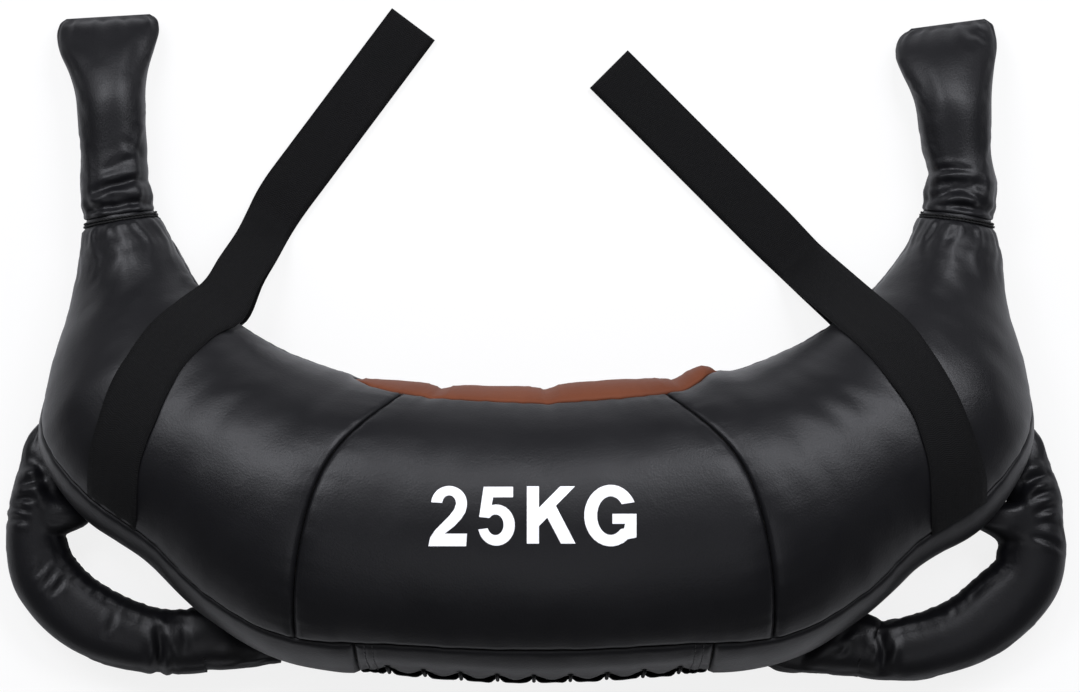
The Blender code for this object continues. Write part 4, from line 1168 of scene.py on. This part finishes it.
for side, name in ((-1, "left_strap"), (1, "right_strap")):
    rows = np.array(STRAP_SHARES[side]) / PARTS
    front = over_wing(rows)
    back = flat_run(rows, np.linspace(len(rows) - 1.7, 0, 50), LOWER_LAYER)
    one, other = np.append(rows[0, :2], 0) * SPAN, np.append(rows[0, 2:], 0) * SPAN
    across = unit(other - one)
    way = np.array([-across[1], across[0], 0]) * np.sign(across[0])
    fold = (UPPER_LAYER - LOWER_LAYER) / 2
    reach = STRAP_FREE[side] - fold - WEBBING / 2
    turns = np.linspace(-math.pi / 2, math.pi / 2, 9)[1:-1]
    outline = [(r, LOWER_LAYER) for r in np.linspace(0.002, reach, 50)]
    outline += [(reach + fold * math.cos(a), LOWER_LAYER + fold + fold * math.sin(a)) for a in turns]
    outline += [(r, UPPER_LAYER) for r in np.linspace(reach, 0.002, 50)]
    centre = (one + other) / 2
    free = np.array([[centre + across * WEB_WIDTH * (s - 0.5) + way * r + (0, 0, z) for s in ACROSS]
                     for r, z in outline])
    lazy = 0.0005 * ripple(np.linalg.norm(free[..., :2] - centre[:2], axis=-1), 0.075, side)
    free[..., 2] += np.maximum(lazy, 0)
    band = np.concatenate([back, free, front])
    run = run_along(band[:, 4])
    for hinge in (len(back) - 0.5, len(back) + len(free) - 0.5):
        near = hump(run, np.interp(hinge, np.arange(len(run)), run), 0.022)[1:-1, None, None]
        for _ in range(40):
            band[1:-1, :, :2] += near * 0.5 * ((band[2:, :, :2] + band[:-2, :, :2]) / 2 - band[1:-1, :, :2])
    run = run_along(band[:, 4])
    mesh = grid_mesh(name + "_webbing", band)
    layer = mesh.uv_layers.new(name="web")
    corner = np.zeros(len(mesh.loops), int)
    mesh.loops.foreach_get("vertex_index", corner)
    flat = np.stack([run[corner // len(ACROSS)], ACROSS[corner % len(ACROSS)] * WEB_WIDTH], 1)
    layer.data.foreach_set("uv", flat.astype(np.float32).ravel())
    made = place_piece(name + "_webbing", mesh, black_webbing, None, "black_webbing",
                       name + "_front_run", name + "_back_run", name + "_loop")
    thicken(made, WEBBING, 0)
    plain(made)
    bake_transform(made)


# Weight mark. Plain block numerals and the unit, printed in white on the middle panel. The outlines
# are drawn in points of an enlarged photograph, and cut from a thin film that follows the leather.
def bow(x, y, wide, high, first, last, count=26):
    return [(x + wide * math.cos(math.radians(a)), y - high * math.sin(math.radians(a)))
            for a in np.linspace(first, last, count)]


GLYPHS = (
    bow(297, 200, 108, 105, 176, -12)
    + [(396, 250), (372, 290), (330, 335), (272, 381), (405, 381), (400, 457), (172, 457), (183, 405),
       (213, 360), (300, 272), (328, 235)]
    + bow(297, 200, 41, 49, -5, 176),
    [(505, 100), (682, 100), (682, 163), (562, 163), (553, 212)] + bow(582, 330, 111, 124, 104, -168)
    + [(527, 349)] + bow(576, 328, 49, 62, -160, 118) + [(540, 287), (478, 281)],
    [(765, 97), (838, 97), (838, 225), (966, 97), (1055, 97), (940, 214), (1058, 441), (970, 441),
     (888, 285), (838, 336), (838, 441), (765, 441)],
    bow(1270, 273, 160, 185, 26, 310)
    + [(1425, 404), (1425, 262), (1280, 262), (1280, 322), (1356, 322), (1350, 350)]
    + bow(1270, 273, 82, 116, 316, 36),
)
ENLARGED, ENLARGED_FROM = 6.03, (400, 470)
MARK_HEIGHT, STAMP_HEIGHTS = 0.170, (0.08, 0.25)
FILM_LIFT, FILM = 0.00012, 0.00022


def on_height(across, down, height):
    """The place at a height that the camera sees at a pixel of the photograph."""
    eye = np.array(camera.location)
    return eye[:2] + (in_metres(across, down) - eye[:2]) * (eye[2] - height) / (eye[2] - EDGE_HEIGHT)


def mark_look(place):
    cracks = place.noise(260, 5, Roughness=0.7)
    white = place.noise(40, 3).between((0.88, 0.88, 0.90), (0.95, 0.95, 0.96))
    worn = ((cracks * 1.2 - 0.62) * 3).held() * 0.35
    colour = worn.between(white, (0.55, 0.55, 0.57))
    return {"Base Color": colour, "Roughness": cracks * 0.2 + 0.40, "Normal": cracks.bump(0.25, 0.0002)}


t, turn = crossed(np.linspace(-1.15, 1.30, 170), np.radians(np.linspace(48, 116, 90)))
under, out = cover(t, turn)[0], outward(t, turn)
film = linked("weight_mark", grid_mesh("film", under + out * (FILM_LIFT + FILM)))
thicken(film, FILM)
stamps = []
for glyph in GLYPHS:
    corners = [on_height(ENLARGED_FROM[0] + x / ENLARGED, ENLARGED_FROM[1] + y / ENLARGED, MARK_HEIGHT)
               for x, y in glyph]
    count = len(corners)
    sides = [(i, (i + 1) % count, count + (i + 1) % count, count + i) for i in range(count)]
    stamp = bpy.data.meshes.new("stamp")
    stamp.from_pydata([(x, y, height) for height in STAMP_HEIGHTS for x, y in corners], [],
                      sides + [tuple(range(count))[::-1], tuple(range(count, 2 * count))])
    face_out(stamp)
    stamps.append(stamp)
cut_with(film, "INTERSECT", stamps)
film.data.materials.clear()
film.data.materials.append(look("white_print", mark_look, 0.3))
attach(film, "bag")
